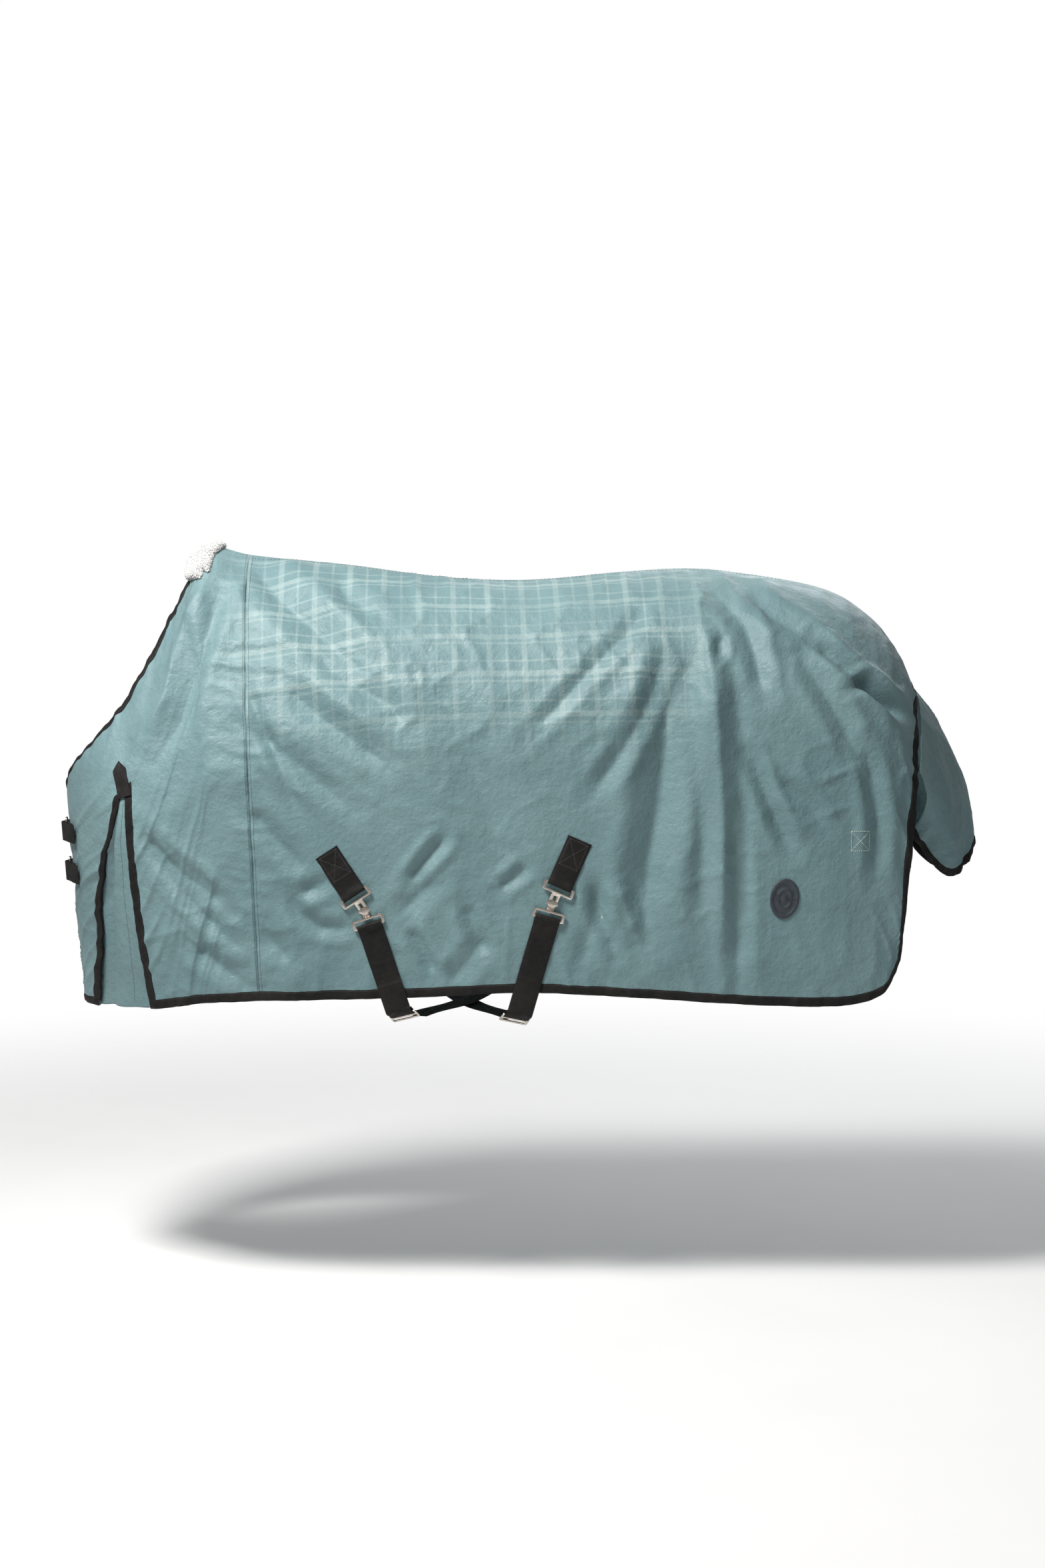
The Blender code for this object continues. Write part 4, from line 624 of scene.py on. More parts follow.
SHELL_CLOTH = shell_material("turquoise shell cloth", True)
ROWS_DOWN = np.linspace(0, 1, 166)
FIRST_OPEN = int(np.searchsorted(ROWS_DOWN, SLIT_TOP))
FRONT_U = front_sections(ROWS_DOWN)
BODY_U = np.repeat(even_sections(SEAM, TAIL, 232)[:, None], len(ROWS_DOWN), 1)
SLIT_HOLE = [(SLIT_CELL, j) for j in range(FIRST_OPEN, len(ROWS_DOWN) - 1)]
CLOTH = {}
WORDS = {NEAR: "left", FAR: "right"}
for side, word in WORDS.items():
    for kind, u in (("front", FRONT_U), ("body", BODY_U)):
        v = np.repeat(ROWS_DOWN[None], len(u), 0)
        points, normals, places = cloth_grid(u, v, side, kind)
        CLOTH[side, kind] = points, normals
        panel = cloth_object(f"{kind}_panel_{word}", points, places, SLIT_HOLE if kind == "front" else ())
        panel.data.materials.append(SHELL_CLOTH)
        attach(panel, "rug")
        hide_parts(f"{kind}_shell_{word}")
        size = np.median(places[-1, :, 0] - places[0, :, 0]), np.median(places[:, -1, 1] - places[:, 0, 1])

# ================================================================ Lining
# A light nylon lining in a stable check hangs just inside the shell, from the neckline to the hem. It is
# caught in the same bindings and in the shoulder seam, so it takes the shell's folds.

def lining_material():
    material, tree, shader = new_material("checked lining", sheen_weight=0.2, sheen_roughness=0.4)
    here = node(tree, "ShaderNodeTexCoord").outputs["Object"]
    flat = node(tree, "ShaderNodeUVMap", uv_map="weave").outputs[0]
    dye = placed(tree, UNEVEN_DYE, {
        "Place": here, "Colour": (0.12, 0.25, 0.27, 1), "Worn": (0.16, 0.30, 0.31, 1), "Size": 0.4,
        "Fleck": 0.06,
    })
    lines = placed(tree, CHECK_LINES, {"Place": flat, "Blur": 0.0008}).outputs[0]
    weave = placed(tree, PLAIN_WEAVE, {"Place": flat, "Pitch": 0.0006})
    colour = mixed(tree, lines, dye.outputs[0], (0.66, 0.70, 0.60))
    colour = mixed(tree, sum_of(tree, "MULTIPLY", weave.outputs["Gap"], 0.2), colour, (0.05, 0.09, 0.09))
    tree.links.new(colour, shader.inputs["Base Color"])
    tree.links.new(stepped(tree, noise_of(tree, here, 30.0), 0.3, 0.7, 0.5, 0.65), shader.inputs["Roughness"])
    under = bumped(tree, shader, noise_of(tree, here, 60.0, 3.0), 0.002, 0.5)
    bumped(tree, shader, weave.outputs["Height"], 0.00008, 0.5, under)
    return material


CHECKED_LINING = lining_material()
# Behind the shoulder seam the thin lining does without every fourth line of points across the rug.
LINED = [i for i in range(len(FRONT_U) + len(BODY_U) - 1) if i < len(FRONT_U) or (i - len(FRONT_U)) % 4 != 1]
for side, word in WORDS.items():
    u = np.concatenate([FRONT_U, BODY_U[1:]])
    points = np.concatenate([CLOTH[side, "front"][0], CLOTH[side, "body"][0][1:]])
    normals = np.concatenate([CLOTH[side, "front"][1], CLOTH[side, "body"][1][1:]])
    CLOTH[side, "all"] = points, normals
    places = np.stack([cumulative(points, 0), cumulative(points, 1)], -1)
    inner = points - normals * 3.6 * MM
    sheet = cloth_object(f"check_lining_{word}", inner[LINED], places[LINED], SLIT_HOLE, 0.6 * MM)
    sheet.data.materials.append(CHECKED_LINING)
    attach(sheet, "rug")
    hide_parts(f"lining_{word}")
    size = np.median(places[-1, :, 0]), np.median(places[:, -1, 1])

# ================================================================ Shoulder gussets
# Behind each slit lies a pleat of shell cloth, sewn to both of its bound edges, which opens when the
# horse moves its shoulder. A seam runs down its middle.

GUSSET_CLOTH = shell_material("gusset cloth", False)
for side, word in WORDS.items():
    rows = np.linspace(SLIT_TOP - 0.01, 1, 110)
    shares = np.linspace(0, 1, 34)
    low = np.interp(rows, SLIT_DOWN, SLIT_FRONT) - 0.14
    high = np.interp(rows, SLIT_DOWN, SLIT_REAR) + 0.14
    u = low[None] + (high - low)[None] * shares[:, None]
    v = np.repeat(rows[None], len(shares), 0)
    base, normals = drape(u, v, side), drape_normals(u, v, side)
    # two soft rolls with a deep dark fold behind the front edge
    pleat = -9 * MM * np.exp(-((shares - 0.27) / 0.07) ** 2) + 5 * MM * np.exp(-((shares - 0.48) / 0.11) ** 2)
    pleat += 2.5 * MM * np.exp(-((shares - 0.76) / 0.1) ** 2) - 5 * MM
    wave = np.stack([u * 2.0, v * 11, np.zeros(u.shape)], -1)
    height = pleat[:, None] * np.clip((v - SLIT_TOP) * 5, 0.15, 1) + 2.2 * MM * soft_noise(wave, 31 + side)
    points = base + normals * height[..., None]
    places = np.stack([cumulative(points, 0), cumulative(points, 1)], -1)
    gusset = cloth_object(f"shoulder_pleat_{word}", points, places, (), 0.9 * MM)
    gusset.data.materials.append(GUSSET_CLOTH)
    facing = np.cross(np.gradient(points, axis=0), np.gradient(points, axis=1)) * side
    CLOTH[side, "gusset"] = points, unit(facing)
    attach(gusset, "rug")
    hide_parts(f"shoulder_gusset_{word}")
    size = np.median(places[-1, :, 0]), np.median(places[:, -1, 1])

# ================================================================ Bindings
# Black woven polyester tape is folded over every raw edge and sewn through all the layers: the neckline,
# the chest, both hems, the slit edges and the rear. It pulls the cloth into small gathers.

def ribbed_webbing_group():
    """Ribs along a woven tape, crossed by the finer weft that makes them."""
    tree, given, out = shader_group(
        "ribbed webbing", [("Place", VECTOR, None), ("Rib", FLOAT, 0.0022), ("Weft", FLOAT, 0.0012)],
        [("Height", FLOAT), ("Groove", FLOAT)],
    )
    parts = node(tree, "ShaderNodeSeparateXYZ", {"Vector": given.outputs["Place"]})
    rib = sum_of(tree, "MULTIPLY", parts.outputs[1], sum_of(tree, "DIVIDE", math.pi, given.outputs["Rib"]))
    turns = sum_of(tree, "DIVIDE", 2 * math.pi, given.outputs["Weft"])
    weft = sum_of(tree, "MULTIPLY", parts.outputs[0], turns)
    ribs = sum_of(tree, "ABSOLUTE", sum_of(tree, "SINE", rib))
    lean = sum_of(tree, "MULTIPLY_ADD", sum_of(tree, "COSINE", rib), 1.1, weft)
    height = sum_of(tree, "MULTIPLY_ADD", sum_of(tree, "SINE", lean), 0.3, ribs)
    tree.links.new(height, out.inputs["Height"])
    tree.links.new(stepped(tree, ribs, 0.15, 0.6, 1.0, 0.0), out.inputs["Groove"])
    return tree


RIBBED_WEBBING = ribbed_webbing_group()


def webbing_material(name, rib, tone=(0.0065, 0.006, 0.006), worn=(0.013, 0.012, 0.011)):
    material, tree, shader = new_material(name, specular_ior_level=0.22)
    here = node(tree, "ShaderNodeTexCoord").outputs["Object"]
    flat = node(tree, "ShaderNodeUVMap", uv_map="weave").outputs[0]
    dye = placed(tree, UNEVEN_DYE, {
        "Place": here, "Colour": (*tone, 1), "Worn": (*worn, 1), "Size": 0.08, "Fleck": 0.0,
    })
    ribs = placed(tree, RIBBED_WEBBING, {"Place": flat, "Rib": rib, "Weft": rib * 0.6})
    dust = stepped(tree, noise_of(tree, here, 55.0, 4.0, 0.65), 0.50, 0.80, 0.0, 0.22)
    colour = mixed(tree, dust, dye.outputs[0], (0.05, 0.047, 0.043))
    colour = mixed(tree, sum_of(tree, "MULTIPLY", ribs.outputs["Groove"], 0.65), colour, (0.006, 0.006, 0.006))
    tree.links.new(colour, shader.inputs["Base Color"])
    tree.links.new(stepped(tree, noise_of(tree, here, 90.0), 0.3, 0.7, 0.55, 0.75), shader.inputs["Roughness"])
    bumped(tree, shader, ribs.outputs["Height"], 0.00035, 0.8)
    return material


BINDING = webbing_material("black binding tape", 0.0016)
TAPE_WIDTH = 18 * MM


def tube_object(name, rings, places, closed=False):
    """A closed band or tube from rings of points, as (stations, ring, 3), with a UV map in metres."""
    count, size = rings.shape[:2]
    index = np.arange(count * size).reshape(count, size)
    after, beyond = np.roll(index, -1, 1), np.roll(index, -1, 0)
    faces = np.stack([index, after, np.roll(beyond, -1, 1), beyond], -1)
    faces = faces if closed else faces[:-1]
    faces = faces.reshape(-1, 4).tolist()
    if not closed:
        faces += [index[0, ::-1].tolist(), index[-1].tolist()]
    mesh = bpy.data.meshes.new(name)
    mesh.from_pydata(rings.reshape(-1, 3).tolist(), [], faces)
    layer = mesh.uv_layers.new(name="weave")
    corners = np.zeros(len(mesh.loops), np.int32)
    mesh.loops.foreach_get("vertex_index", corners)
    layer.data.foreach_set("uv", places.reshape(-1, 2)[corners].astype(np.float32).ravel())
    built = bmesh.new()
    built.from_mesh(mesh)
    bmesh.ops.recalc_face_normals(built, faces=built.faces)
    built.to_mesh(mesh)
    built.free()
    mesh.shade_smooth()
    mesh.set_sharp_from_angle(angle=math.radians(55))
    obj = bpy.data.objects.new(name, mesh)
    bpy.context.scene.collection.objects.link(obj)
    return obj


def bound_edge(name, strips, normals, layers, body="rug", trim=(0, 0)):
    """Tape folded over an edge. strips holds rows of points that run in from the edge.

    Returns the tape and the line that its outer stitches follow.
    """
    strips, normals = strips[trim[0]:len(strips) - trim[1]], normals[trim[0]:len(normals) - trim[1]]
    run = np.linalg.norm(np.diff(strips, axis=1), axis=-1)
    run = np.concatenate([np.zeros((len(strips), 1)), np.cumsum(run, axis=1)], axis=1)
    wanted = np.array([0.0, 0.06, 0.35, 0.7, 0.94, 1.0]) * TAPE_WIDTH
    at = np.zeros((len(strips), len(wanted), 3))
    out = np.zeros_like(at)
    for k in range(len(strips)):
        for axis in range(3):
            at[k, :, axis] = np.interp(wanted, run[k], strips[k, :, axis])
            out[k, :, axis] = np.interp(wanted, run[k], normals[k, :, axis])
    out = unit(out)
    back = unit(at[:, 0] - at[:, 3])
    along = np.concatenate([[0], np.cumsum(np.linalg.norm(np.diff(at[:, 0], axis=0), axis=-1))])
    swell = 0.35 * MM * soft_noise(np.stack([along / 0.012, along * 0, along * 0], -1), 40)
    over = np.array([1.0, 1.5, 1.7, 1.6, 1.15, 0.15]) * MM
    rings = []
    for k in (5, 4, 3, 2, 1):
        rings.append(at[:, k] + out[:, k] * (over[k] + (swell if k < 5 else 0 * swell))[:, None])
    rings.append(at[:, 0] + back * 0.9 * MM + out[:, 0] * 1.1 * MM)
    rings.append(at[:, 0] + back * 1.6 * MM - out[:, 0] * layers * 0.5)
    rings.append(at[:, 0] + back * 0.9 * MM - out[:, 0] * (layers + 1.1 * MM))
    for k in (1, 3, 5):
        rings.append(at[:, k] - out[:, k] * (layers + over[k]))
    rings.append(at[:, 5] - out[:, 5] * (layers - 0.1 * MM))
    rings = np.stack(rings, 1)
    girth = np.cumsum([0, 1.5, 4.3, 6.3, 5.2, 1.6, 1.6, 1.6, 1.6, 12, 5, 1.5]) * MM
    places = np.stack(np.broadcast_arrays(along[:, None], girth[None]), -1)
    tape = tube_object(name, rings, places)
    tape.data.materials.append(BINDING)
    if body:
        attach(tape, body)
    line = at[:, 4] + out[:, 4] * 1.3 * MM + (at[:, 3] - at[:, 4]) * 0.35
    return tape, (line, out[:, 4])


def grid_tree(points):
    count = points.shape[1]
    index = np.arange(points.shape[0] * count).reshape(points.shape[0], count)
    faces = np.stack([index[:-1, :-1], index[1:, :-1], index[1:, 1:], index[:-1, 1:]], -1).reshape(-1, 4)
    return BVHTree.FromPolygons([Vector(p) for p in points.reshape(-1, 3)], faces.tolist())


def square_to_edge(side, columns, reaches):
    """Rows of cloth points, and their normals, that run in square to the neckline."""
    points, normals = CLOTH[side, "all"]
    edge, up = points[columns, 0], normals[columns, 0]
    inward = unit(np.cross(up, np.gradient(edge, axis=0)))
    inward *= np.sign(((points[columns, 6] - edge) * inward).sum(-1, keepdims=True))
    rows, outs = [edge], [up]
    for reach in reaches[1:]:
        hits = [CLOTH_TREES[side].find_nearest(Vector(p)) for p in edge + inward * reach]
        out = np.array([hit[1] for hit in hits])
        rows.append(np.array([hit[0] for hit in hits]))
        outs.append(out * np.where((out * up).sum(-1, keepdims=True) < 0, -1, 1))
    return np.stack(rows, 1), np.stack(outs, 1)


LAYERS = 4.0 * MM
TAPE_LINES = []
CLOTH_TREES = {side: grid_tree(CLOTH[side, "all"][0]) for side in WORDS}
for side, word in WORDS.items():
    points, normals = CLOTH[side, "all"]
    last = len(points) - 1
    crest = int(np.searchsorted(FRONT_U[:, 0], 5.99))
    neck_end = int(np.searchsorted(points[:crest, 0, 2], points[crest, 0, 2] - 0.058))
    neckline = slice(0, neck_end)
    edges = {
        "neck_tape": (*square_to_edge(side, neckline, np.linspace(0, 22 * MM, 8)), (0, 0)),
        "chest_tape": (points[:8].swapaxes(0, 1), normals[:8].swapaxes(0, 1), (3, 3)),
        "chest_hem_tape": (points[:SLIT_CELL + 1, :-9:-1], normals[:SLIT_CELL + 1, :-9:-1], (0, 0)),
        "hem_tape": (points[SLIT_CELL + 1:, :-9:-1], normals[SLIT_CELL + 1:, :-9:-1], (0, 0)),
        "rear_tape": (points[:-9:-1].swapaxes(0, 1), normals[:-9:-1].swapaxes(0, 1), (0, 3)),
        "gusset_front_tape": (
            points[SLIT_CELL:SLIT_CELL - 8:-1, FIRST_OPEN:].swapaxes(0, 1),
            normals[SLIT_CELL:SLIT_CELL - 8:-1, FIRST_OPEN:].swapaxes(0, 1), (1, 3),
        ),
        "gusset_rear_tape": (
            points[SLIT_CELL + 1:SLIT_CELL + 9, FIRST_OPEN:].swapaxes(0, 1),
            normals[SLIT_CELL + 1:SLIT_CELL + 9, FIRST_OPEN:].swapaxes(0, 1), (1, 3),
        ),
    }
    for name, (strips, outward, trim) in edges.items():
        tape, line = bound_edge(f"{name}_{word}_sewn", strips, outward, LAYERS, trim=trim)
        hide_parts(f"{name}_{word}")
        TAPE_LINES.append(line)

# ================================================================ Seams and stitches
# Bonded thread, lock stitched: a double row down each shoulder seam, single rows on every binding, a
# dotted line beside the spine and one down the gusset. Each visible stitch is a small flattened capsule.

def stitch_tree():
    """Geometry nodes that put one stitch on every point, lying along the seam and flat on the cloth."""
    tree = bpy.data.node_groups.new("stitches", "GeometryNodeTree")
    sockets = {}
    made = tree.interface.new_socket("Points", in_out="INPUT", socket_type="NodeSocketGeometry")
    for label, kind in (
        ("Stitch Length", FLOAT), ("Thread Width", FLOAT), ("Thread Height", FLOAT),
        ("Thread", "NodeSocketMaterial"),
    ):
        made = tree.interface.new_socket(label, in_out="INPUT", socket_type=kind)
        sockets[label] = made.identifier
    tree.interface.new_socket("Stitches", in_out="OUTPUT", socket_type="NodeSocketGeometry")
    given, out = tree.nodes.new("NodeGroupInput"), tree.nodes.new("NodeGroupOutput")
    seed = node(tree, "GeometryNodeMeshIcoSphere", {"Radius": 0.5, "Subdivisions": 2})
    size = node(tree, "ShaderNodeCombineXYZ", {
        "X": given.outputs["Stitch Length"], "Y": given.outputs["Thread Width"],
        "Z": given.outputs["Thread Height"],
    })
    stitch = node(tree, "GeometryNodeTransform", {"Geometry": seed.outputs["Mesh"], "Scale": size.outputs[0]})
    along = node(tree, "GeometryNodeInputNamedAttribute", {"Name": "along"}, data_type="FLOAT_VECTOR")
    up = node(tree, "GeometryNodeInputNamedAttribute", {"Name": "up"}, data_type="FLOAT_VECTOR")
    first = node(tree, "FunctionNodeAlignRotationToVector", {"Vector": along.outputs["Attribute"]}, axis="X")
    turn = node(tree, "FunctionNodeAlignRotationToVector", {
        "Rotation": first.outputs[0], "Vector": up.outputs["Attribute"],
    }, axis="Z", pivot_axis="X")
    placed_on = node(tree, "GeometryNodeInstanceOnPoints", {
        "Points": given.outputs["Points"], "Instance": stitch.outputs[0], "Rotation": turn.outputs[0],
    })
    real = node(tree, "GeometryNodeRealizeInstances", {"Geometry": placed_on.outputs[0]})
    named = node(tree, "GeometryNodeSetMaterial", {
        "Geometry": real.outputs[0], "Material": given.outputs["Thread"],
    })
    smooth = node(tree, "GeometryNodeSetShadeSmooth", {"Geometry": named.outputs[0]})
    last = node(tree, "GeometryNodeSetMaterial", {
        "Geometry": smooth.outputs[0], "Material": given.outputs["Thread"],
    })
    tree.links.new(last.outputs[0], out.inputs[0])
    return tree, sockets


STITCH_TREE, STITCH_SOCKETS = stitch_tree()


def thread_material(name, tone):
    material, tree, shader = new_material(name, sheen_weight=0.1)
    here = node(tree, "ShaderNodeTexCoord").outputs["Object"]
    twist = noise_of(tree, here, 900.0, 2.0)
    dark = tuple(0.45 * part for part in tone)
    tree.links.new(mixed(tree, stepped(tree, twist, 0.35, 0.65), dark, tone), shader.inputs["Base Color"])
    tree.links.new(stepped(tree, twist, 0.3, 0.7, 0.45, 0.65), shader.inputs["Roughness"])
    bumped(tree, shader, twist, 0.0002, 0.5)
    return material


def stitched(name, lines, thread, body="rug", pitch=3.6 * MM, length=2.7 * MM, width=0.8 * MM):
    """One mesh of stitches along lines of (points, normals)."""
    spots, heading, lift = [], [], []
    for points, normals in lines:
        points, normals = np.asarray(points, float), np.asarray(normals, float)
        run = np.concatenate([[0], np.cumsum(np.linalg.norm(np.diff(points, axis=0), axis=-1))])
        at = np.arange(pitch / 2, run[-1], pitch)
        here = np.stack([np.interp(at, run, points[:, k]) for k in range(3)], -1)
        ahead = np.stack([np.interp(at + pitch / 4, run, points[:, k]) for k in range(3)], -1)
        behind = np.stack([np.interp(at - pitch / 4, run, points[:, k]) for k in range(3)], -1)
        spots.append(here)
        heading.append(unit(ahead - behind))
        lift.append(unit(np.stack([np.interp(at, run, normals[:, k]) for k in range(3)], -1)))
    spots, heading, lift = np.concatenate(spots), np.concatenate(heading), np.concatenate(lift)
    mesh = bpy.data.meshes.new(name)
    mesh.from_pydata(spots.tolist(), [], [])
    for label, values in (("along", heading), ("up", lift)):
        field = mesh.attributes.new(label, "FLOAT_VECTOR", "POINT")
        field.data.foreach_set("vector", values.astype(np.float32).ravel())
    obj = bpy.data.objects.new(name, mesh)
    bpy.context.scene.collection.objects.link(obj)
    grow = obj.modifiers.new("stitches", "NODES")
    grow.node_group = STITCH_TREE
    grow[STITCH_SOCKETS["Stitch Length"]] = length
    grow[STITCH_SOCKETS["Thread Width"]] = width
    grow[STITCH_SOCKETS["Thread Height"]] = width * 0.75
    grow[STITCH_SOCKETS["Thread"]] = thread
    apply_modifiers(obj)
    if body:
        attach(obj, body)
    return obj


DARK_THREAD = thread_material("dark teal thread", (0.045, 0.075, 0.080))
BLACK_THREAD = thread_material("black thread", (0.022, 0.020, 0.019))
stitched(
    "binding_stitches", TAPE_LINES, BLACK_THREAD, pitch=4.2 * MM, length=3.2 * MM, width=0.9 * MM,
)
seam_lines, dotted = [], []
for side in WORDS:
    front, front_up = CLOTH[side, "front"]
    body, body_up = CLOTH[side, "body"]
    for points, up, column in ((front, front_up, -2), (body, body_up, 1)):
        seam_lines.append((points[column, 2:-3] + up[column, 2:-3] * 0.2 * MM, up[column, 2:-3]))
    # one dotted line a thumb's width below the spine, from the shoulder seam to the croup
    run = np.linalg.norm(np.diff(body, axis=1), axis=-1).cumsum(axis=1)
    last = int(np.searchsorted(BODY_U[:, 0], 12.6))
    low = [int(np.searchsorted(run[i], 0.026)) + 1 for i in range(last)]
    dotted.append((
        [body[i, j] + body_up[i, j] * 0.2 * MM for i, j in enumerate(low)],
        [body_up[i, j] for i, j in enumerate(low)],
    ))
    pleat, pleat_up = CLOTH[side, "gusset"]
    middle = len(pleat) // 2 + 3
    seam_lines.append((pleat[middle, 3:-4] + pleat_up[middle, 3:-4] * 0.2 * MM, pleat_up[middle, 3:-4]))
stitched("seam_stitches", seam_lines, DARK_THREAD, pitch=4.0 * MM, length=2.9 * MM, width=1.0 * MM)
stitched("spine_stitches", dotted, DARK_THREAD, pitch=8 * MM, length=3.6 * MM, width=1.2 * MM)

# ================================================================ Wither pads
# White synthetic fleece is folded over the top of the neckline on each side and sewn down, so that the
# edge doesn't rub the mane. The two pads meet at the withers.

def loose_copy(name, node_name):
    """A CAD node's mesh as a new object, with its loose triangles merged."""
    mesh = bpy.data.objects[node_name].data.copy()
    mesh.name = name
    built = bmesh.new()
    built.from_mesh(mesh)
    bmesh.ops.remove_doubles(built, verts=built.verts, dist=2e-5)
    bmesh.ops.recalc_face_normals(built, faces=built.faces)
    built.to_mesh(mesh)
    built.free()
    mesh.materials.clear()
    obj = bpy.data.objects.new(name, mesh)
    bpy.context.scene.collection.objects.link(obj)
    return obj


def fleece_material():
    material, tree, shader = new_material("white fleece", sheen_weight=0.5, sheen_roughness=0.5)
    here = node(tree, "ShaderNodeTexCoord").outputs["Object"]
    tufts = noise_of(tree, here, 160.0, 4.0, 0.7)
    tree.links.new(mixed(tree, tufts, (0.62, 0.62, 0.60), (0.92, 0.92, 0.93)), shader.inputs["Base Color"])
    tree.links.new(stepped(tree, tufts, 0.3, 0.7, 0.85, 0.98), shader.inputs["Roughness"])
    bumped(tree, shader, tufts, 0.003, 0.9)
    return material


def pile_tree():
    """Geometry nodes that stand short, leaning tufts on a fleece pad and keep the pad under them."""
    tree = bpy.data.node_groups.new("fleece pile", "GeometryNodeTree")
    sockets = {}
    tree.interface.new_socket("Pad", in_out="INPUT", socket_type="NodeSocketGeometry")
    for label, kind in (("Tufts", FLOAT), ("Tuft Length", FLOAT), ("Pile", "NodeSocketMaterial")):
        sockets[label] = tree.interface.new_socket(label, in_out="INPUT", socket_type=kind).identifier
    tree.interface.new_socket("Pad", in_out="OUTPUT", socket_type="NodeSocketGeometry")
    given, out = tree.nodes.new("NodeGroupInput"), tree.nodes.new("NodeGroupOutput")
    spread = node(tree, "GeometryNodeDistributePointsOnFaces", {
        "Mesh": given.outputs["Pad"], "Density": given.outputs["Tufts"], "Seed": 5,
    })
    tuft = node(tree, "GeometryNodeMeshCone", {
        "Vertices": 4, "Radius Top": 0.0, "Radius Bottom": 0.0010, "Depth": given.outputs["Tuft Length"],
    })
    wobble = node(tree, "FunctionNodeRandomValue", {
        0: (-0.7, -0.7, -0.7), 1: (0.7, 0.7, 0.7), "Seed": 9,
    }, data_type="FLOAT_VECTOR")
    lean = node(tree, "FunctionNodeRotateRotation", {
        "Rotation": spread.outputs["Rotation"], "Rotate By": wobble.outputs[0],
    })
    grown = node(tree, "GeometryNodeInstanceOnPoints", {
        "Points": spread.outputs["Points"], "Instance": tuft.outputs[0], "Rotation": lean.outputs[0],
    })
    real = node(tree, "GeometryNodeRealizeInstances", {"Geometry": grown.outputs[0]})
    both = node(tree, "GeometryNodeJoinGeometry")
    tree.links.new(given.outputs["Pad"], both.inputs[0])
    tree.links.new(real.outputs[0], both.inputs[0])
    last = node(tree, "GeometryNodeSetMaterial", {
        "Geometry": both.outputs[0], "Material": given.outputs["Pile"],
    })
    tree.links.new(last.outputs[0], out.inputs[0])
    return tree, sockets


FLEECE = fleece_material()
PILE_TREE, PILE_SOCKETS = pile_tree()


def puffed(obj, voxel, pressure, cap):
    """Blows a soft closed piece up a little with cloth simulation, and keeps each point within a cap."""
    mesh = obj.modifiers.new("even mesh", "REMESH")
    mesh.mode = "VOXEL"
    mesh.voxel_size = voxel
    apply_modifiers(obj)
    rest = np.zeros(len(obj.data.vertices) * 3)
    obj.data.vertices.foreach_get("co", rest)
    cloth = obj.modifiers.new("cloth", "CLOTH")
    cloth.settings.use_pressure = True
    cloth.settings.uniform_pressure_force = pressure
    cloth.settings.effector_weights.gravity = 0
    cloth.settings.quality = 5
    for step in range(1, 13):
        bpy.context.scene.frame_set(step)
    apply_modifiers(obj)
    bpy.context.scene.frame_set(1)
    now = np.zeros_like(rest)
    obj.data.vertices.foreach_get("co", now)
    moved = (now - rest).reshape(-1, 3)
    far = np.linalg.norm(moved, axis=1, keepdims=True)
    moved *= np.minimum(1, cap / np.maximum(far, 1e-9))
    obj.data.vertices.foreach_set("co", (rest.reshape(-1, 3) + moved).ravel())
    obj.data.update()


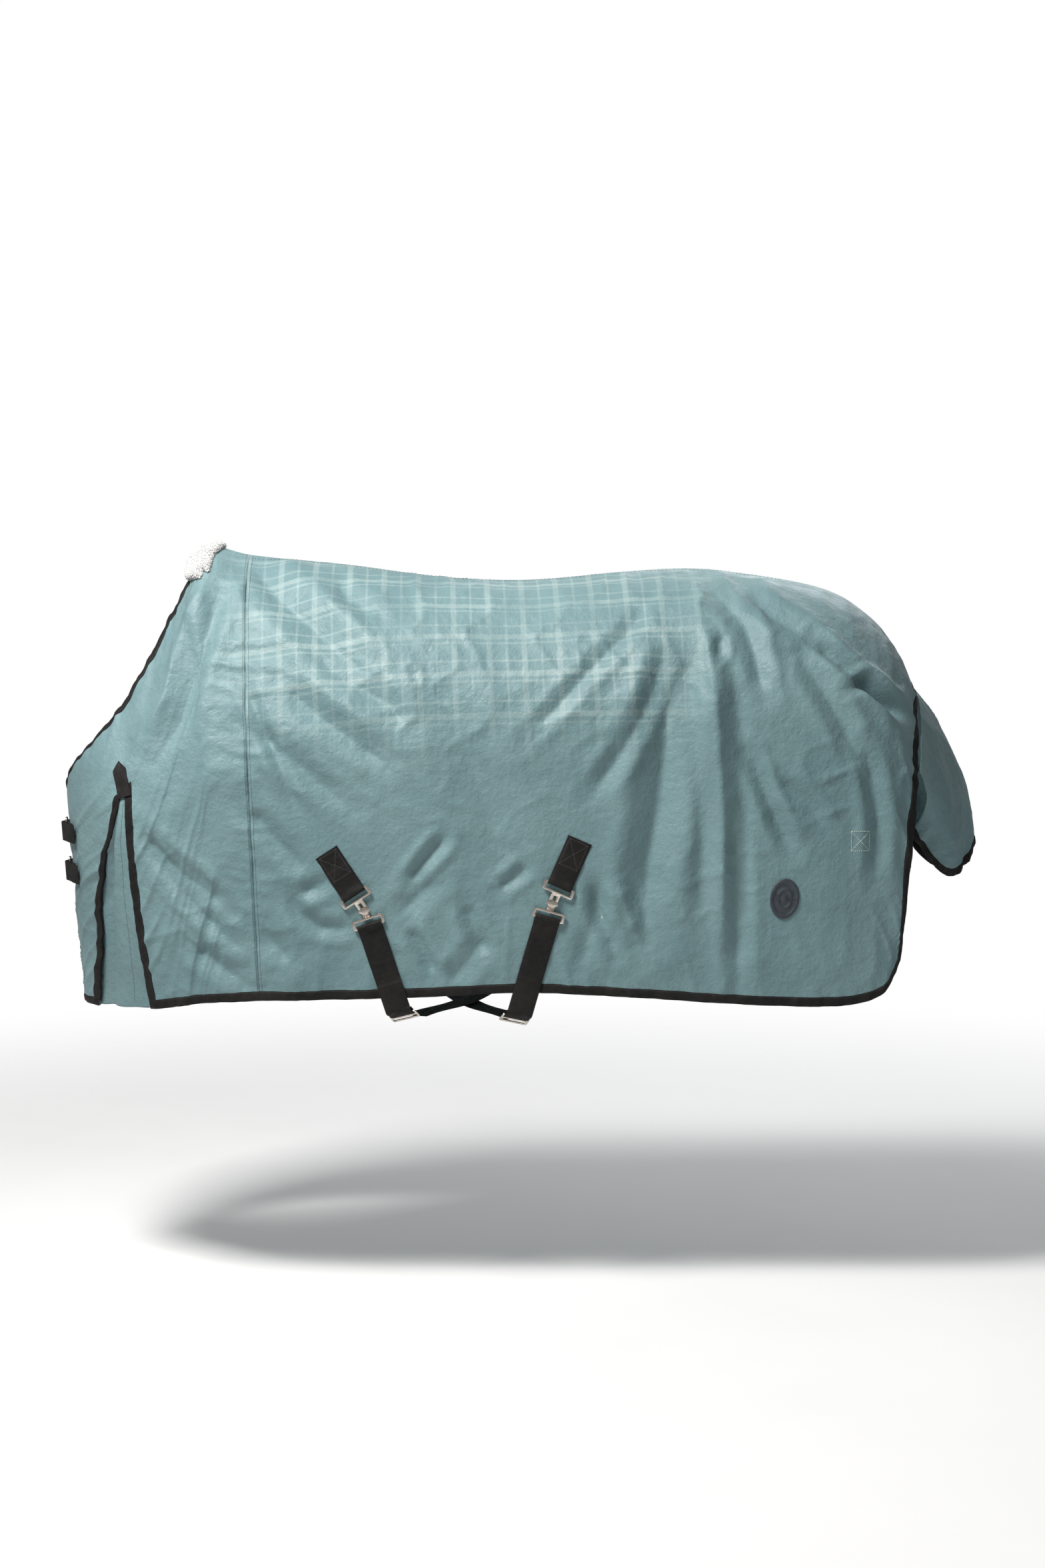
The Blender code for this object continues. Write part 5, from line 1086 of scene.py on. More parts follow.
for side, word in WORDS.items():
    top = CLOTH[side, "all"][0][:, 0]
    crest = int(np.searchsorted(FRONT_U[:, 0], 5.99))
    first = int(np.searchsorted(top[:crest, 2], top[crest, 2] - 0.062))
    low, high = top[first, 2], top[crest, 2]
    lines = []
    for i in range(first, crest):
        spot, out = top[i], CLOTH[side, "all"][1][i, 0]
        edge = np.interp(spot[2], (low, high), (-0.648, -0.606))
        path, outs = [spot], [out]
        # step back over the cloth, a little downhill, as far as the pad's rear edge
        while spot[0] < edge and len(path) < 50:
            way = np.array([1.0, side * min(1.0, abs(top[i, 1]) / 0.03) * 0.5, -0.2])
            way = unit(way - out * (way @ out))
            place, facing = CLOTH_TREES[side].find_nearest(Vector(spot + way * 4 * MM))[:2]
            facing = np.array(facing) * np.sign(np.array(facing) @ out)
            spot, out = np.array(place), unit(0.6 * out + 0.4 * facing)
            path.append(spot)
            outs.append(out)
        share = np.linspace(0, 1, len(path))
        fine = np.linspace(0, 1, 41)
        both = [np.array(path), np.array(outs)]
        lines.append([[np.interp(fine, share, kind[:, axis]) for axis in range(3)] for kind in both])
    points, normals = np.moveaxis(np.array(lines), (1, 2), (0, -1))
    rings = []
    # (share of the way in from the edge, height off the cloth and overhang past the edge in millimetres)
    for share, height, past in (
        (1.0, 1, 0), (0.98, 6, 0), (0.9, 9, 0), (0.75, 10, 0), (0.6, 10, 0), (0.45, 10, 0), (0.3, 10, 0),
        (0.15, 10, 0), (0.05, 9, 0), (0, 6, 6), (0, -2, 10), (0, -10, 6), (0.1, -14, 0), (0.3, -14, 0),
        (0.5, -13, 0), (0.55, -9, 0), (0.55, -5, 0), (0.3, -5, 0), (0, -4.6, 1), (0, 0.6, 1), (0.2, 0.8, 0),
        (0.4, 0.8, 0), (0.6, 0.8, 0), (0.8, 0.8, 0),
    ):
        k = int(round(share * 40))
        ahead = unit(points[:, 0] - points[:, 4])
        rings.append(points[:, k] + unit(normals[:, k]) * height * MM + ahead * past * MM)
    rings = np.stack(rings, 1)
    pad = tube_object(f"fleece_{word}", rings, np.zeros(rings.shape[:2] + (2,)))
    puffed(pad, 3 * MM, 3.0, 4 * MM)
    rough = pad.modifiers.new("soft", "SMOOTH")
    rough.factor, rough.iterations = 0.6, 6
    apply_modifiers(pad)
    grow = pad.modifiers.new("pile", "NODES")
    grow.node_group = PILE_TREE
    grow[PILE_SOCKETS["Tufts"]] = 300000.0
    grow[PILE_SOCKETS["Tuft Length"]] = 5 * MM
    grow[PILE_SOCKETS["Pile"]] = FLEECE
    apply_modifiers(pad)
    pad.data.shade_smooth()
    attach(pad, "rug")
    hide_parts(f"wither_pad_{word}")

# ================================================================ Tail flap
# One piece of shell cloth, sewn behind the rear binding below the croup, that falls over the tail. It is
# cut as a pointed bell and bound along its free edge.

FLAP_GAP, FLAP_ATTACH = 7 * MM, 0.42
FLAP_RIDGE, FLAP_CORNER, FLAP_SAG, FLAP_BULGE = (0.127, -0.318), (-0.018, 0.105, -0.285), 0.072, 0.03


def flap_points(w, t):
    """Points of the flap: w runs from the near side (-1) to the far (1), t from the seam to the edge."""
    side = np.where(w < 0, NEAR, FAR)
    share = np.abs(w)
    near = drape(np.full(w.shape, TAIL), share * FLAP_ATTACH, 1)
    seam = np.stack([near[..., 0] + FLAP_GAP, side * near[..., 1], near[..., 2]], -1)
    root = drape(np.array([TAIL]), np.array([0.0]), 1)[0] + np.array([FLAP_GAP, 0, 0])
    tip = root + np.array([FLAP_RIDGE[0], 0, FLAP_RIDGE[1]])
    blend = (share ** 1.6)[..., None]
    corner = root + np.stack(np.broadcast_arrays(FLAP_CORNER[0], side * FLAP_CORNER[1], FLAP_CORNER[2]), -1)
    edge = tip * (1 - blend) + corner * blend
    edge[..., 1] = side * FLAP_CORNER[1] * np.sin(share * math.pi / 2)
    edge[..., 2] -= FLAP_SAG * np.sin(math.pi * share ** 1.3)
    points = seam * (1 - t[..., None]) + edge * t[..., None]
    points[..., 0] += FLAP_BULGE * 4 * t * (1 - t) * (1 - 0.3 * share)
    return points


w, t = np.meshgrid(np.linspace(-1, 1, 105), np.linspace(0, 1, 78), indexing="ij")
base = flap_points(w, t)
normals = unit(np.cross(np.gradient(base, axis=0), np.gradient(base, axis=1)))
normals *= np.where(normals[..., :1] + w[..., None] * normals[..., 1:2] > 0, 1, -1)
fan = 5.0 * MM * np.sin(w * 9 + 1.2 * t) * (0.15 + 0.85 * t) * np.exp(-((np.abs(w) - 0.55) / 0.4) ** 2)
fan += 3.0 * MM * soft_noise(np.stack([w * 3.2, t * 2.4, t * 0], -1), 52)
fan += 1.8 * MM * soft_noise(np.stack([w * 9, t * 5, t * 0 + 0.5], -1), 53)
fine = 1 - np.abs(soft_noise(np.stack([w * 14 + t * 3, t * 8 - w * 4, t * 0], -1), 54))
fan += 1.5 * MM * (fine ** 4 - 0.2)
down, across = cumulative(base, 1), cumulative(base, 0)
fan += puckers(base, down, across, 55) + puckers(base, down[:, -1:] - down, across, 56)
fan *= np.clip(0.15 + t / 0.25, 0, 1)
points = base + normals * (fan + 1.0 * MM)[..., None]
out = np.cross(np.gradient(points, axis=0), np.gradient(points, axis=1))
out = unit(out * np.where((out * normals).sum(-1, keepdims=True) > 0, 1, -1))
flap = cloth_object("tail_flap_cloth", points, np.stack([across, down], -1), (), 1.6 * MM)
flap.data.materials.append(shell_material("flap cloth", False))
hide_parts("tail_flap")
TAPE_WIDTH = 16 * MM
flap_tape, flap_line = bound_edge("tail_flap_binding", points[:, :-9:-1], out[:, :-9:-1], 1.8 * MM, body=None)
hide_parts("tail_flap_tape")
flap_thread = stitched(
    "tail_flap_stitches", [flap_line], BLACK_THREAD, body=None, pitch=4.2 * MM, length=3.2 * MM,
)
for piece in (flap, flap_tape, flap_thread):
    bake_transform(piece)

# ================================================================ Surcingle tabs
# Black polypropylene webbing, 50 mm wide, is folded round the bar of each slotted hook and sewn back on
# itself and to the rug with a box and a cross. Webbing points also lock the tops of the shoulder slits.

SURCINGLES = {
    "front": {
        "stud": (-0.2140, -0.787), "tab": 56.8, "strap": 72.0,
        "slider_x": -0.1432, "far_x": -0.011, "layer": 0,
    },
    "rear": {
        "stud": (0.0399, -0.770), "tab": 113.8, "strap": 106.0,
        "slider_x": -0.0111, "far_x": -0.1432, "layer": 1,
    },
}
WEBBING, WEBBING_WIDTH, SEWN_GAP, SHELL, TAPE = 1.6 * MM, 50 * MM, 0.4 * MM, 2.0 * MM, 1.2 * MM
BAR, LOWER_BAR, PLATE_PLAY = 4 * MM, 5 * MM, 1.2 * MM
FRAME_REACH, STUD_REACH, FRAME_LENGTH = 21 * MM, 15 * MM, 19 * MM
TAB_REACH, STEP_REACH, LOOP_LAP = 0.136, 0.112, 0.055
LOOP, LOWER_LOOP = BAR / 2 + PLATE_PLAY + WEBBING / 2, LOWER_BAR / 2 + PLATE_PLAY + WEBBING / 2
HOOK = SHELL + 0.8 * MM + WEBBING / 2 + LOWER_LOOP
SEWN = SHELL + SEWN_GAP + WEBBING / 2 + 0.4 * MM
DOUBLED = SEWN + WEBBING + SEWN_GAP


def tree_of(names):
    """One search tree over the rest meshes of several CAD nodes."""
    built = bmesh.new()
    for name in names:
        built.from_mesh(bpy.data.objects[name].data)
    found = BVHTree.FromBMesh(built)
    built.free()
    return found


SOLID_SHELLS = {side: tree_of([f"front_shell_{w}", f"body_shell_{w}"]) for side, w in WORDS.items()}
fine_u, fine_v = np.meshgrid(np.linspace(0, TAIL, 200), np.linspace(0, 1, 70), indexing="ij")
DRAPES = {side: grid_tree(drape(fine_u, fine_v, side)) for side in WORDS}


def laid(x, z, side):
    """Point of the solid rug's drape where a side view shows (x, z), and its outward normal."""
    start, ray = Vector((x, side * 2.0, z)), Vector((0, -side, 0))
    point = SOLID_SHELLS[side].ray_cast(start, ray)[0]
    normal = DRAPES[side].find_nearest(point)[1]
    normal = -normal if normal.y * side < 0 else normal
    return point - normal * SHELL, normal


def on_cloth(x, z, side, lift=0.0):
    """Point on the finished, folded cloth where a side view shows (x, z), and its outward normal."""
    point, normal, _, _ = CLOTH_TREES[side].ray_cast(Vector((x, side * 2.0, z)), Vector((0, -side, 0)))
    normal = -normal if normal.y * side < 0 else normal
    return point + normal * lift, normal


def looped(start, bar, radius, lap, height, low, high):
    """Profile of a webbing end: distance along and height, down to a bar, round it, and back under."""
    profile = [(start, low), (bar + lap + 8 * MM, low), (bar + lap, high), (bar + 14 * MM, high)]
    for k in range(7):
        angle = math.radians(90 + 30 * k)
        profile.append((bar + radius * math.cos(angle), height + radius * math.sin(angle)))
    return profile + [(bar + 14 * MM, low), (bar + lap - 4 * MM, low)]


def over_cloth(profile, x, z, angle, side):
    dx, dz = math.cos(math.radians(angle)), math.sin(math.radians(angle))
    finer = [profile[0]]
    for (s0, h0), (s1, h1) in zip(profile, profile[1:]):
        count = max(1, math.ceil(abs(s1 - s0) / (12 * MM)))
        finer += [(s0 + (s1 - s0) * k / count, h0 + (h1 - h0) * k / count) for k in range(1, count + 1)]
    path, across = [], []
    for along, height in finer:
        point, normal = laid(x + dx * along, z + dz * along, side)
        path.append(point + normal * height)
        across.append(Vector((dx, 0, dz)).cross(normal))
    return path, across


def webbing_band(name, path, across, width, body, material, thickness=WEBBING, ends=0.0):
    """A woven band along a path, rounded at its edges, with a UV map in metres."""
    path = np.array([tuple(p) for p in path])
    across = unit(np.array([tuple(a) for a in across]))
    keep = np.concatenate([[True], np.linalg.norm(np.diff(path, axis=0), axis=-1) > 0.2 * MM])
    path, across = path[keep], across[keep]
    run = np.concatenate([[0], np.cumsum(np.linalg.norm(np.diff(path, axis=0), axis=-1))])
    # a smooth curve through the points, a few millimetres a step and finer at the bends
    wanted = np.unique(np.concatenate([run, np.linspace(0, run[-1], max(8, int(run[-1] / (5 * MM))))]))
    wanted = wanted[np.concatenate([[True], np.diff(wanted) > 0.4 * MM])]
    path = np.stack([np.interp(wanted, run, path[:, k]) for k in range(3)], -1)
    across = unit(np.stack([np.interp(wanted, run, across[:, k]) for k in range(3)], -1))
    for _ in range(2):
        path[1:-1] = path[1:-1] * 0.5 + (path[:-2] + path[2:]) * 0.25
    out = unit(np.cross(np.gradient(path, axis=0), across))
    half, thin = width / 2, thickness / 2
    ring = [(half - 0.9 * MM, thin), (half, thin * 0.45), (half, -thin * 0.45), (half - 0.9 * MM, -thin)]
    ring += [(s * half / 2, -thin) for s in (1, 0, -1)] + [(-a, b) for a, b in reversed(ring)]
    ring += [(s * half / 2, thin) for s in (-1, 0, 1)]
    rings = np.stack([path + across * a + out * b for a, b in ring], 1)
    place = np.array([a for a, _ in ring])
    places = np.stack(np.broadcast_arrays(wanted[:, None], place[None]), -1)
    band = tube_object(name, rings, places)
    band.data.materials.append(material)
    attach(band, body)
    return band, (path, across, out, wanted)


STRAP_WEBBING = webbing_material("black strap webbing", 0.0031)


def box_and_cross(line, first, last, half, lift):
    """Stitch lines of a box with a cross in it, on a band between two distances along it."""
    path, across, out, run = line

    def at(along, side):
        fields = path, across, out
        spot = [np.array([np.interp(along, run, field[:, k]) for k in range(3)]) for field in fields]
        return spot[0] + spot[1] * side + spot[2] * lift, spot[2]

    corners = [(first, -half), (first, half), (last, half), (last, -half)]
    lines = []
    for a, b in ((0, 1), (1, 2), (2, 3), (3, 0), (0, 2), (1, 3)):
        share = np.linspace(0, 1, 40)
        spots = [at(
            corners[a][0] + (corners[b][0] - corners[a][0]) * s,
            corners[a][1] + (corners[b][1] - corners[a][1]) * s,
        ) for s in share]
        lines.append(([s[0] for s in spots], [s[1] for s in spots]))
    return lines


GREY_THREAD = thread_material("charcoal thread", (0.075, 0.070, 0.066))
crosses = []
PLACES = {}
for name, size in SURCINGLES.items():
    x, z = size["stud"][0] * BACK_LENGTH, size["stud"][1] * DROP
    PLACES[name] = x, z
    bar = FRAME_REACH + FRAME_LENGTH - BAR / 2
    profile = looped(TAB_REACH, bar, LOOP, LOOP_LAP, HOOK, SEWN, DOUBLED)
    path, across = over_cloth(profile, x, z, 180 - size["tab"], NEAR)
    tab, line = webbing_band(f"{name}_tab", path, across, WEBBING_WIDTH, "rug", STRAP_WEBBING)
    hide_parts(f"{name}_surcingle_tab")
    sign = 1 if (line[2][5] @ np.array([0, -1, 0])) > 0 else -1
    boxed = box_and_cross(line, 5 * MM, 58 * MM, 19 * MM, sign * 1.0 * MM)
    crosses += [(p, sign * np.array(n)) for p, n in boxed]
stitched("tab_stitches", crosses, GREY_THREAD, pitch=3.6 * MM, length=2.8 * MM, width=1.0 * MM)

TAB_LENGTH, TAB_HALF = 76 * MM, 14 * MM
for side, word in WORDS.items():
    u = 0.5 * (SLIT_FRONT[0] + SLIT_REAR[0])
    low, high = (drape(np.array([u]), np.array([v]), side)[0] for v in (SLIT_TOP, SLIT_TOP - 0.1))
    out = drape_normals(np.array([u]), np.array([SLIT_TOP]), side)[0]
    along = unit((high - low) - out * ((high - low) @ out))
    sideways = np.cross(along, out)
    y0, y1 = -0.30 * TAB_LENGTH, 0.70 * TAB_LENGTH
    shoulder = y1 - 0.24 * TAB_LENGTH
    rows = np.concatenate([np.linspace(y0, shoulder, 14), np.linspace(shoulder, y1, 9)[1:]])
    rings, places = [], []
    for y in rows:
        half = TAB_HALF * (1 if y <= shoulder else max(0.06, (y1 - y) / (y1 - shoulder)))
        ring = []
        for a in (1, 0.5, 0, -0.5, -1):
            spot = low + along * y + sideways * half * a
            hit = CLOTH_TREES[side].ray_cast(Vector(spot + out * 0.08), Vector(-out), 0.2)[0]
            lift = (np.array(hit) - spot) @ out if hit else 2 * MM
            ring.append(spot + out * max(lift, 0.5 * MM))
        top = [p + out * 4.6 * MM for p in ring]
        under = [p + out * 2.9 * MM for p in reversed(ring)]
        rings.append(top + under)
        places.append([(y, half * a) for a in (1, 0.5, 0, -0.5, -1, -1, -0.5, 0, 0.5, 1)])
    tab = tube_object(f"slit_point_{word}", np.array(rings), np.array(places))
    tab.data.materials.append(STRAP_WEBBING)
    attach(tab, "rug")
    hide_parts(f"gusset_tab_{word}")

# ================================================================ Surcingle hooks
# Each surcingle fastens with a pressed steel T hook, nickel plated: the slotted plate on the sewn tab
# drops over the stud of the plate on the strap. Sliders and leg rings have the same plating.

def plated_steel():
    material, tree, shader = new_material("nickel plated steel", metallic=1.0)
    here = node(tree, "ShaderNodeTexCoord").outputs["Object"]
    cloudy = noise_of(tree, here, 70.0, 4.0, 0.6)
    colour = mixed(tree, stepped(tree, cloudy, 0.35, 0.7), (0.78, 0.70, 0.63), (0.55, 0.47, 0.41))
    spots = stepped(tree, noise_of(tree, here, 300.0, 3.0, 0.7), 0.62, 0.78, 0.0, 0.55)
    tree.links.new(mixed(tree, spots, colour, (0.22, 0.17, 0.14)), shader.inputs["Base Color"])
    worn = sum_of(tree, "MULTIPLY", spots, 0.3)
    rough = sum_of(tree, "ADD", stepped(tree, cloudy, 0.3, 0.7, 0.20, 0.36), worn)
    tree.links.new(rough, shader.inputs["Roughness"])
    bumped(tree, shader, noise_of(tree, here, 500.0, 3.0, 0.6), 0.0003, 0.25)
    return material


PLATED = plated_steel()


def pressed(name, node_name, body, soften=0.7 * MM):
    """A fitting with the CAD node's exact shape and the rolled edges of pressed steel."""
    obj = loose_copy(name, node_name)
    built = bmesh.new()
    built.from_mesh(obj.data)
    bmesh.ops.dissolve_limit(built, angle_limit=math.radians(3), verts=built.verts, edges=built.edges)
    bmesh.ops.recalc_face_normals(built, faces=built.faces)
    built.to_mesh(obj.data)
    built.free()
    edge = obj.modifiers.new("rolled edge", "BEVEL")
    edge.width, edge.segments = soften, 3
    edge.limit_method, edge.angle_limit = "ANGLE", math.radians(35)
    edge.use_clamp_overlap = True
    apply_modifiers(obj)
    obj.data.shade_smooth()
    obj.data.set_sharp_from_angle(angle=math.radians(50))
    obj.data.materials.append(PLATED)
    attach(obj, body)
    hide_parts(node_name)
    return obj


for name in SURCINGLES:
    pressed(f"{name}_slotted_hook", f"{name}_slot_plate", f"{name}_plate")
    pressed(f"{name}_stud_hook", f"{name}_stud_plate", f"{name}_surcingle")
    pressed(f"{name}_strap_slider", f"{name}_slider", f"{name}_surcingle", 0.6 * MM)
for word in WORDS.values():
    pressed(f"leg_d_ring_{word}", f"leg_ring_{word}", f"ring_{word}", 0.5 * MM)

# ================================================================ Belly straps
# The surcingles go on as the same webbing. A short length hangs from each stud plate to a slider below
# the hem, and a long one, sewn to the far side, crosses under the belly to meet it.

BELLY_DROP, BELLY_LAYER = DROP + 0.045, 6 * MM


def hem_below(x, angle, z):
    dx, dz = math.cos(math.radians(angle)), math.sin(math.radians(angle))
    low = 0.0
    while SOLID_SHELLS[NEAR].ray_cast(Vector((x + dx * low, -2.0, z + dz * low)), Vector((0, 1, 0)))[0]:
        low += MM
    return z + dz * low


lower_lines = []
for name, size in SURCINGLES.items():
    x, z = PLACES[name]
    bar = STUD_REACH + FRAME_LENGTH - LOWER_BAR / 2
    angle = -size["strap"]
    dx, dz = math.cos(math.radians(angle)), math.sin(math.radians(angle))
    bottom = -BELLY_DROP - size["layer"] * BELLY_LAYER + 9 * MM
    profile = looped(0, bar, LOWER_LOOP, STEP_REACH - bar, HOOK, SEWN, DOUBLED)[2:]
    path, across = over_cloth(list(reversed(profile)), x, z, angle, NEAR)
    tape = SHELL + 2 * SEWN_GAP + TAPE + WEBBING / 2 + 1.5 * MM
    down = (z - hem_below(x, angle, z)) / -dz
    below, sideways = over_cloth([
        (STEP_REACH + 8 * MM, SEWN), (down - 34 * MM, SEWN), (down - 26 * MM, tape), (down - 2 * MM, tape),
    ], x, z, angle, NEAR)
    path += below
    across += sideways
    turn = 12 * MM
    last = path[-1]
    run = (last.z - bottom - turn) / -dz
    inwards = Vector((dx, -dz, 0)).normalized()
    heading = Vector((dx, 0, dz))
    corner = last + heading * run
    for k in range(1, 11):
        a = math.radians(5 * k)
        path.append(corner + heading * turn * math.sin(a) + inwards * turn * (1 - math.cos(a)))
        ahead = (heading * math.cos(a) + inwards * math.sin(a)).normalized()
        sideways = ahead.cross(Vector((0, -math.cos(a), -math.sin(a))))
        across.append(sideways)
    up = Vector((0, math.cos(a), math.sin(a)))
    up = (up - ahead * up.dot(ahead)).normalized()
    centre = path[-1] + ahead * 10 * MM + up * LOOP
    path.append(centre - up * LOOP)
    across.append(sideways)
    for k in range(1, 7):
        a = math.radians(-90 + 30 * k)
        path.append(centre + ahead * LOOP * math.cos(a) + up * LOOP * math.sin(a))
        across.append(sideways)
    path.append(centre - ahead * 11 * MM + up * LOOP)
    across.append(sideways)
    strap, line = webbing_band(
        f"{name}_lower_webbing", path, across, WEBBING_WIDTH, f"{name}_surcingle", STRAP_WEBBING,
    )
    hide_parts(f"{name}_lower_strap")
    lower_lines.append((name, line))

    # the long strap from the far side
    bottom, turn = bottom - 9 * MM, 22 * MM
    far_x, near_x = size["far_x"] * BACK_LENGTH, size["slider_x"] * BACK_LENGTH
    point, _ = laid(far_x, -0.97 * DROP, FAR)
    wide = point.y + SEWN
    near_y = -(wide - 47 * MM)
    slope = (far_x - near_x) / (wide - turn - near_y)
    path, across = [], []
    hem = -0.99 * DROP
    tape += 0.3 * MM
    heights = [(h, SEWN) for h in np.linspace(-0.60 * DROP, hem + 34 * MM, 24)]
    for height, lift in heights + [(hem + 24 * MM, tape), (hem + 4 * MM, tape)]:
        point, normal = laid(far_x + (height - bottom) * slope, height, FAR)
        path.append(point + normal * lift)
        across.append(Vector((slope, 0, 1)).cross(normal))
    corner = Vector((far_x + turn * slope, path[-1].y, bottom + turn))
    for k in range(11):
        a = math.radians(9 * k)
        path.append(corner + Vector((-slope * turn * a, -turn * (1 - math.cos(a)), -turn * math.sin(a))))
        across.append(Vector((1, -math.sin(a) * slope, -math.cos(a) * slope)))
    start = path[-1]
    end = Vector((start.x - slope * (start.y - near_y), near_y, bottom))
    for share in np.linspace(0.05, 1.0, 20):
        path.append(start.lerp(end, share) + Vector((0, 0, -0.013 * math.sin(math.pi * share) ** 2)))
        across.append(Vector((1, -slope, 0)))
    strap, line = webbing_band(f"{name}_belly_webbing", path, across, WEBBING_WIDTH, "rug", STRAP_WEBBING)
    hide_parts(f"{name}_belly_strap")
    far_lines = box_and_cross(line, 5 * MM, 55 * MM, 19 * MM, 1.0 * MM)
    stitched(f"{name}_far_stitches", [(p, n) for p, n in far_lines], GREY_THREAD, width=1.0 * MM)

# ================================================================ Chest straps
# Two webbing straps, 38 mm wide, sewn to the far breast, each pass through a plated buckle held
# by a doubled webbing chape on the near breast.

NARROW_WEBBING = webbing_material("black chest webbing", 0.0027)
for name, height in {"upper": 0.625, "lower": 0.725}.items():
    pressed(f"chest_frame_{name}", f"chest_buckle_{name}", "rug", 1.2 * MM)
    pressed(f"chest_pin_{name}", f"chest_prong_{name}", f"prong_{name}", 0.6 * MM)
    for kind in ("chape", "strap"):
        band = loose_copy(f"chest_{kind}_webbing_{name}", f"chest_{kind}_{name}")
        if kind == "strap":
            # the far breast is rounder than the solid's facets, so the strap is lifted clear of its cloth
            spots = np.array([corner.co for corner in band.data.vertices])
            outs, rises = np.zeros_like(spots), np.zeros(len(spots))
            for k, spot in enumerate(spots):
                place, out = CLOTH_TREES[FAR].find_nearest(Vector(spot))[:2]
                outs[k] = out if out.x < 0 else -out
                rises[k] = 1.8 * MM - (spot - np.array(place)) @ outs[k]
            for k, spot in enumerate(spots):
                beside = np.abs(spots[:, 1] - spot[1]) < 14 * MM
                share = np.clip((spot[1] - 0.045) / 0.02, 0, 1)
                band.data.vertices[k].co = spot + outs[k] * max(0.0, rises[beside].max()) * share
        edge = band.modifiers.new("woven edge", "BEVEL")
        edge.width, edge.segments = 0.45 * MM, 2
        edge.limit_method, edge.angle_limit = "ANGLE", math.radians(40)
        apply_modifiers(band)
        band.data.shade_smooth()
        band.data.set_sharp_from_angle(angle=math.radians(50))
        # the ribs run round the breast, so their place across the band is the height
        layer = band.data.uv_layers.get("weave") or band.data.uv_layers.new(name="weave")
        for loop in band.data.loops:
            spot = band.data.vertices[loop.vertex_index].co
            layer.data[loop.index].uv = (spot.y * 1.1 - spot.x * 0.6, spot.z + height * DROP)
        band.data.materials.append(NARROW_WEBBING)
        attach(band, "rug")
        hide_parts(f"chest_{kind}_{name}")

# ================================================================ Leg ring tabs
# Inside each rear corner a loop of 25 mm webbing, sewn through to the outside with a box and a cross in
# pale thread, holds the D ring for a leg strap.

RING_X, RING_Z = 0.4592 * BACK_LENGTH, -0.651 * DROP
PALE_THREAD = thread_material("pale green thread", (0.62, 0.74, 0.66))
for side, word in WORDS.items():
    radius = 2 * MM + PLATE_PLAY + WEBBING / 2
    base = 0.5 * MM + 1.4 * MM + SEWN_GAP + WEBBING / 2 + 0.8 * MM
    height = base + radius + 0.6 * MM
    profile = [(34 * MM, base), (22 * MM, base), (18 * MM, base + WEBBING + SEWN_GAP), (8 * MM, base + 4 * MM)]
    for k in range(13):
        a = math.radians(90 + 15 * k)
        profile.append((radius * math.cos(a), height + radius * math.sin(a)))
    profile += [(8 * MM, base), (16 * MM, base)]
    path, across = [], []
    for along, lift in profile:
        point, normal = laid(RING_X, RING_Z + along, side)
        path.append(point - normal * lift)
        across.append(Vector((0, 0, 1)).cross(normal))
    tab, _ = webbing_band(f"ring_webbing_{word}", path, across, 25 * MM, "rug", NARROW_WEBBING)
    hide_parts(f"leg_ring_tab_{word}")
    lines = []
    box = [(-18, 20), (18, 20), (18, -19), (-18, -19)]
    for a, b in ((0, 1), (1, 2), (2, 3), (3, 0), (0, 2), (1, 3)):
        spots = [on_cloth(
            RING_X + (box[a][0] + (box[b][0] - box[a][0]) * s) * MM,
            RING_Z + (22 + box[a][1] + (box[b][1] - box[a][1]) * s) * MM, side, 0.3 * MM,
        ) for s in np.linspace(0, 1, 30)]
        lines.append(([tuple(p) for p, _ in spots], [tuple(n) for _, n in spots]))
    stitched(f"ring_box_{word}", lines, PALE_THREAD, pitch=4.0 * MM, length=3.2 * MM, width=1.5 * MM)

# ================================================================ Badge
# A soft rubber badge, moulded with a raised rim and a plain pattern of steps, is sewn to the near
# hindquarter.

def badge_rubber():
    material, tree, shader = new_material("charcoal badge rubber", coat_roughness=0.4)
    here = node(tree, "ShaderNodeTexCoord").outputs["Object"]
    cloudy = noise_of(tree, here, 90.0, 4.0, 0.6)
    dark = mixed(tree, cloudy, (0.014, 0.019, 0.026), (0.045, 0.057, 0.070))
    tree.links.new(dark, shader.inputs["Base Color"])
    tree.links.new(stepped(tree, cloudy, 0.3, 0.7, 0.42, 0.62), shader.inputs["Roughness"])
    bumped(tree, shader, noise_of(tree, here, 700.0, 2.0), 0.0002, 0.4)
    return material


BADGE_X, BADGE_Z, BADGE_TILT = 0.356 * BACK_LENGTH, -0.762 * DROP, math.radians(-8)
steps = [(0.0, 2.6), (0.16, 2.6), (0.18, 2.0), (0.40, 2.0), (0.42, 2.7), (0.50, 2.7), (0.52, 2.0), (0.74, 2.0)]
steps += [(0.78, 2.3), (0.82, 3.2), (0.86, 3.4), (0.94, 3.4), (0.985, 3.0), (1.0, 2.2), (1.0, -0.6)]
count = 96
points, faces = [], []
for radius, height in steps:
    for k in range(count):
        a = 2 * math.pi * k / count
        ex, ez = 28.5 * MM * radius * math.cos(a), 40 * MM * radius * math.sin(a)
        x = BADGE_X + ex * math.cos(BADGE_TILT) - ez * math.sin(BADGE_TILT)
        z = BADGE_Z + ex * math.sin(BADGE_TILT) + ez * math.cos(BADGE_TILT)
        point, normal = laid(x, z, NEAR)
        points.append(point + normal * (SHELL + (height + 0.4) * MM))
for ring in range(len(steps) - 1):
    for k in range(count):
        a, b = ring * count + k, ring * count + (k + 1) % count
        faces.append((a, b, b + count, a + count))
faces.append([len(points) - count + k for k in range(count)])
mesh = bpy.data.meshes.new("rubber_badge")
mesh.from_pydata(points, [], faces)
built = bmesh.new()
built.from_mesh(mesh)
bmesh.ops.remove_doubles(built, verts=built.verts, dist=1e-6)
bmesh.ops.recalc_face_normals(built, faces=built.faces)
built.to_mesh(mesh)
built.free()
mesh.shade_smooth()
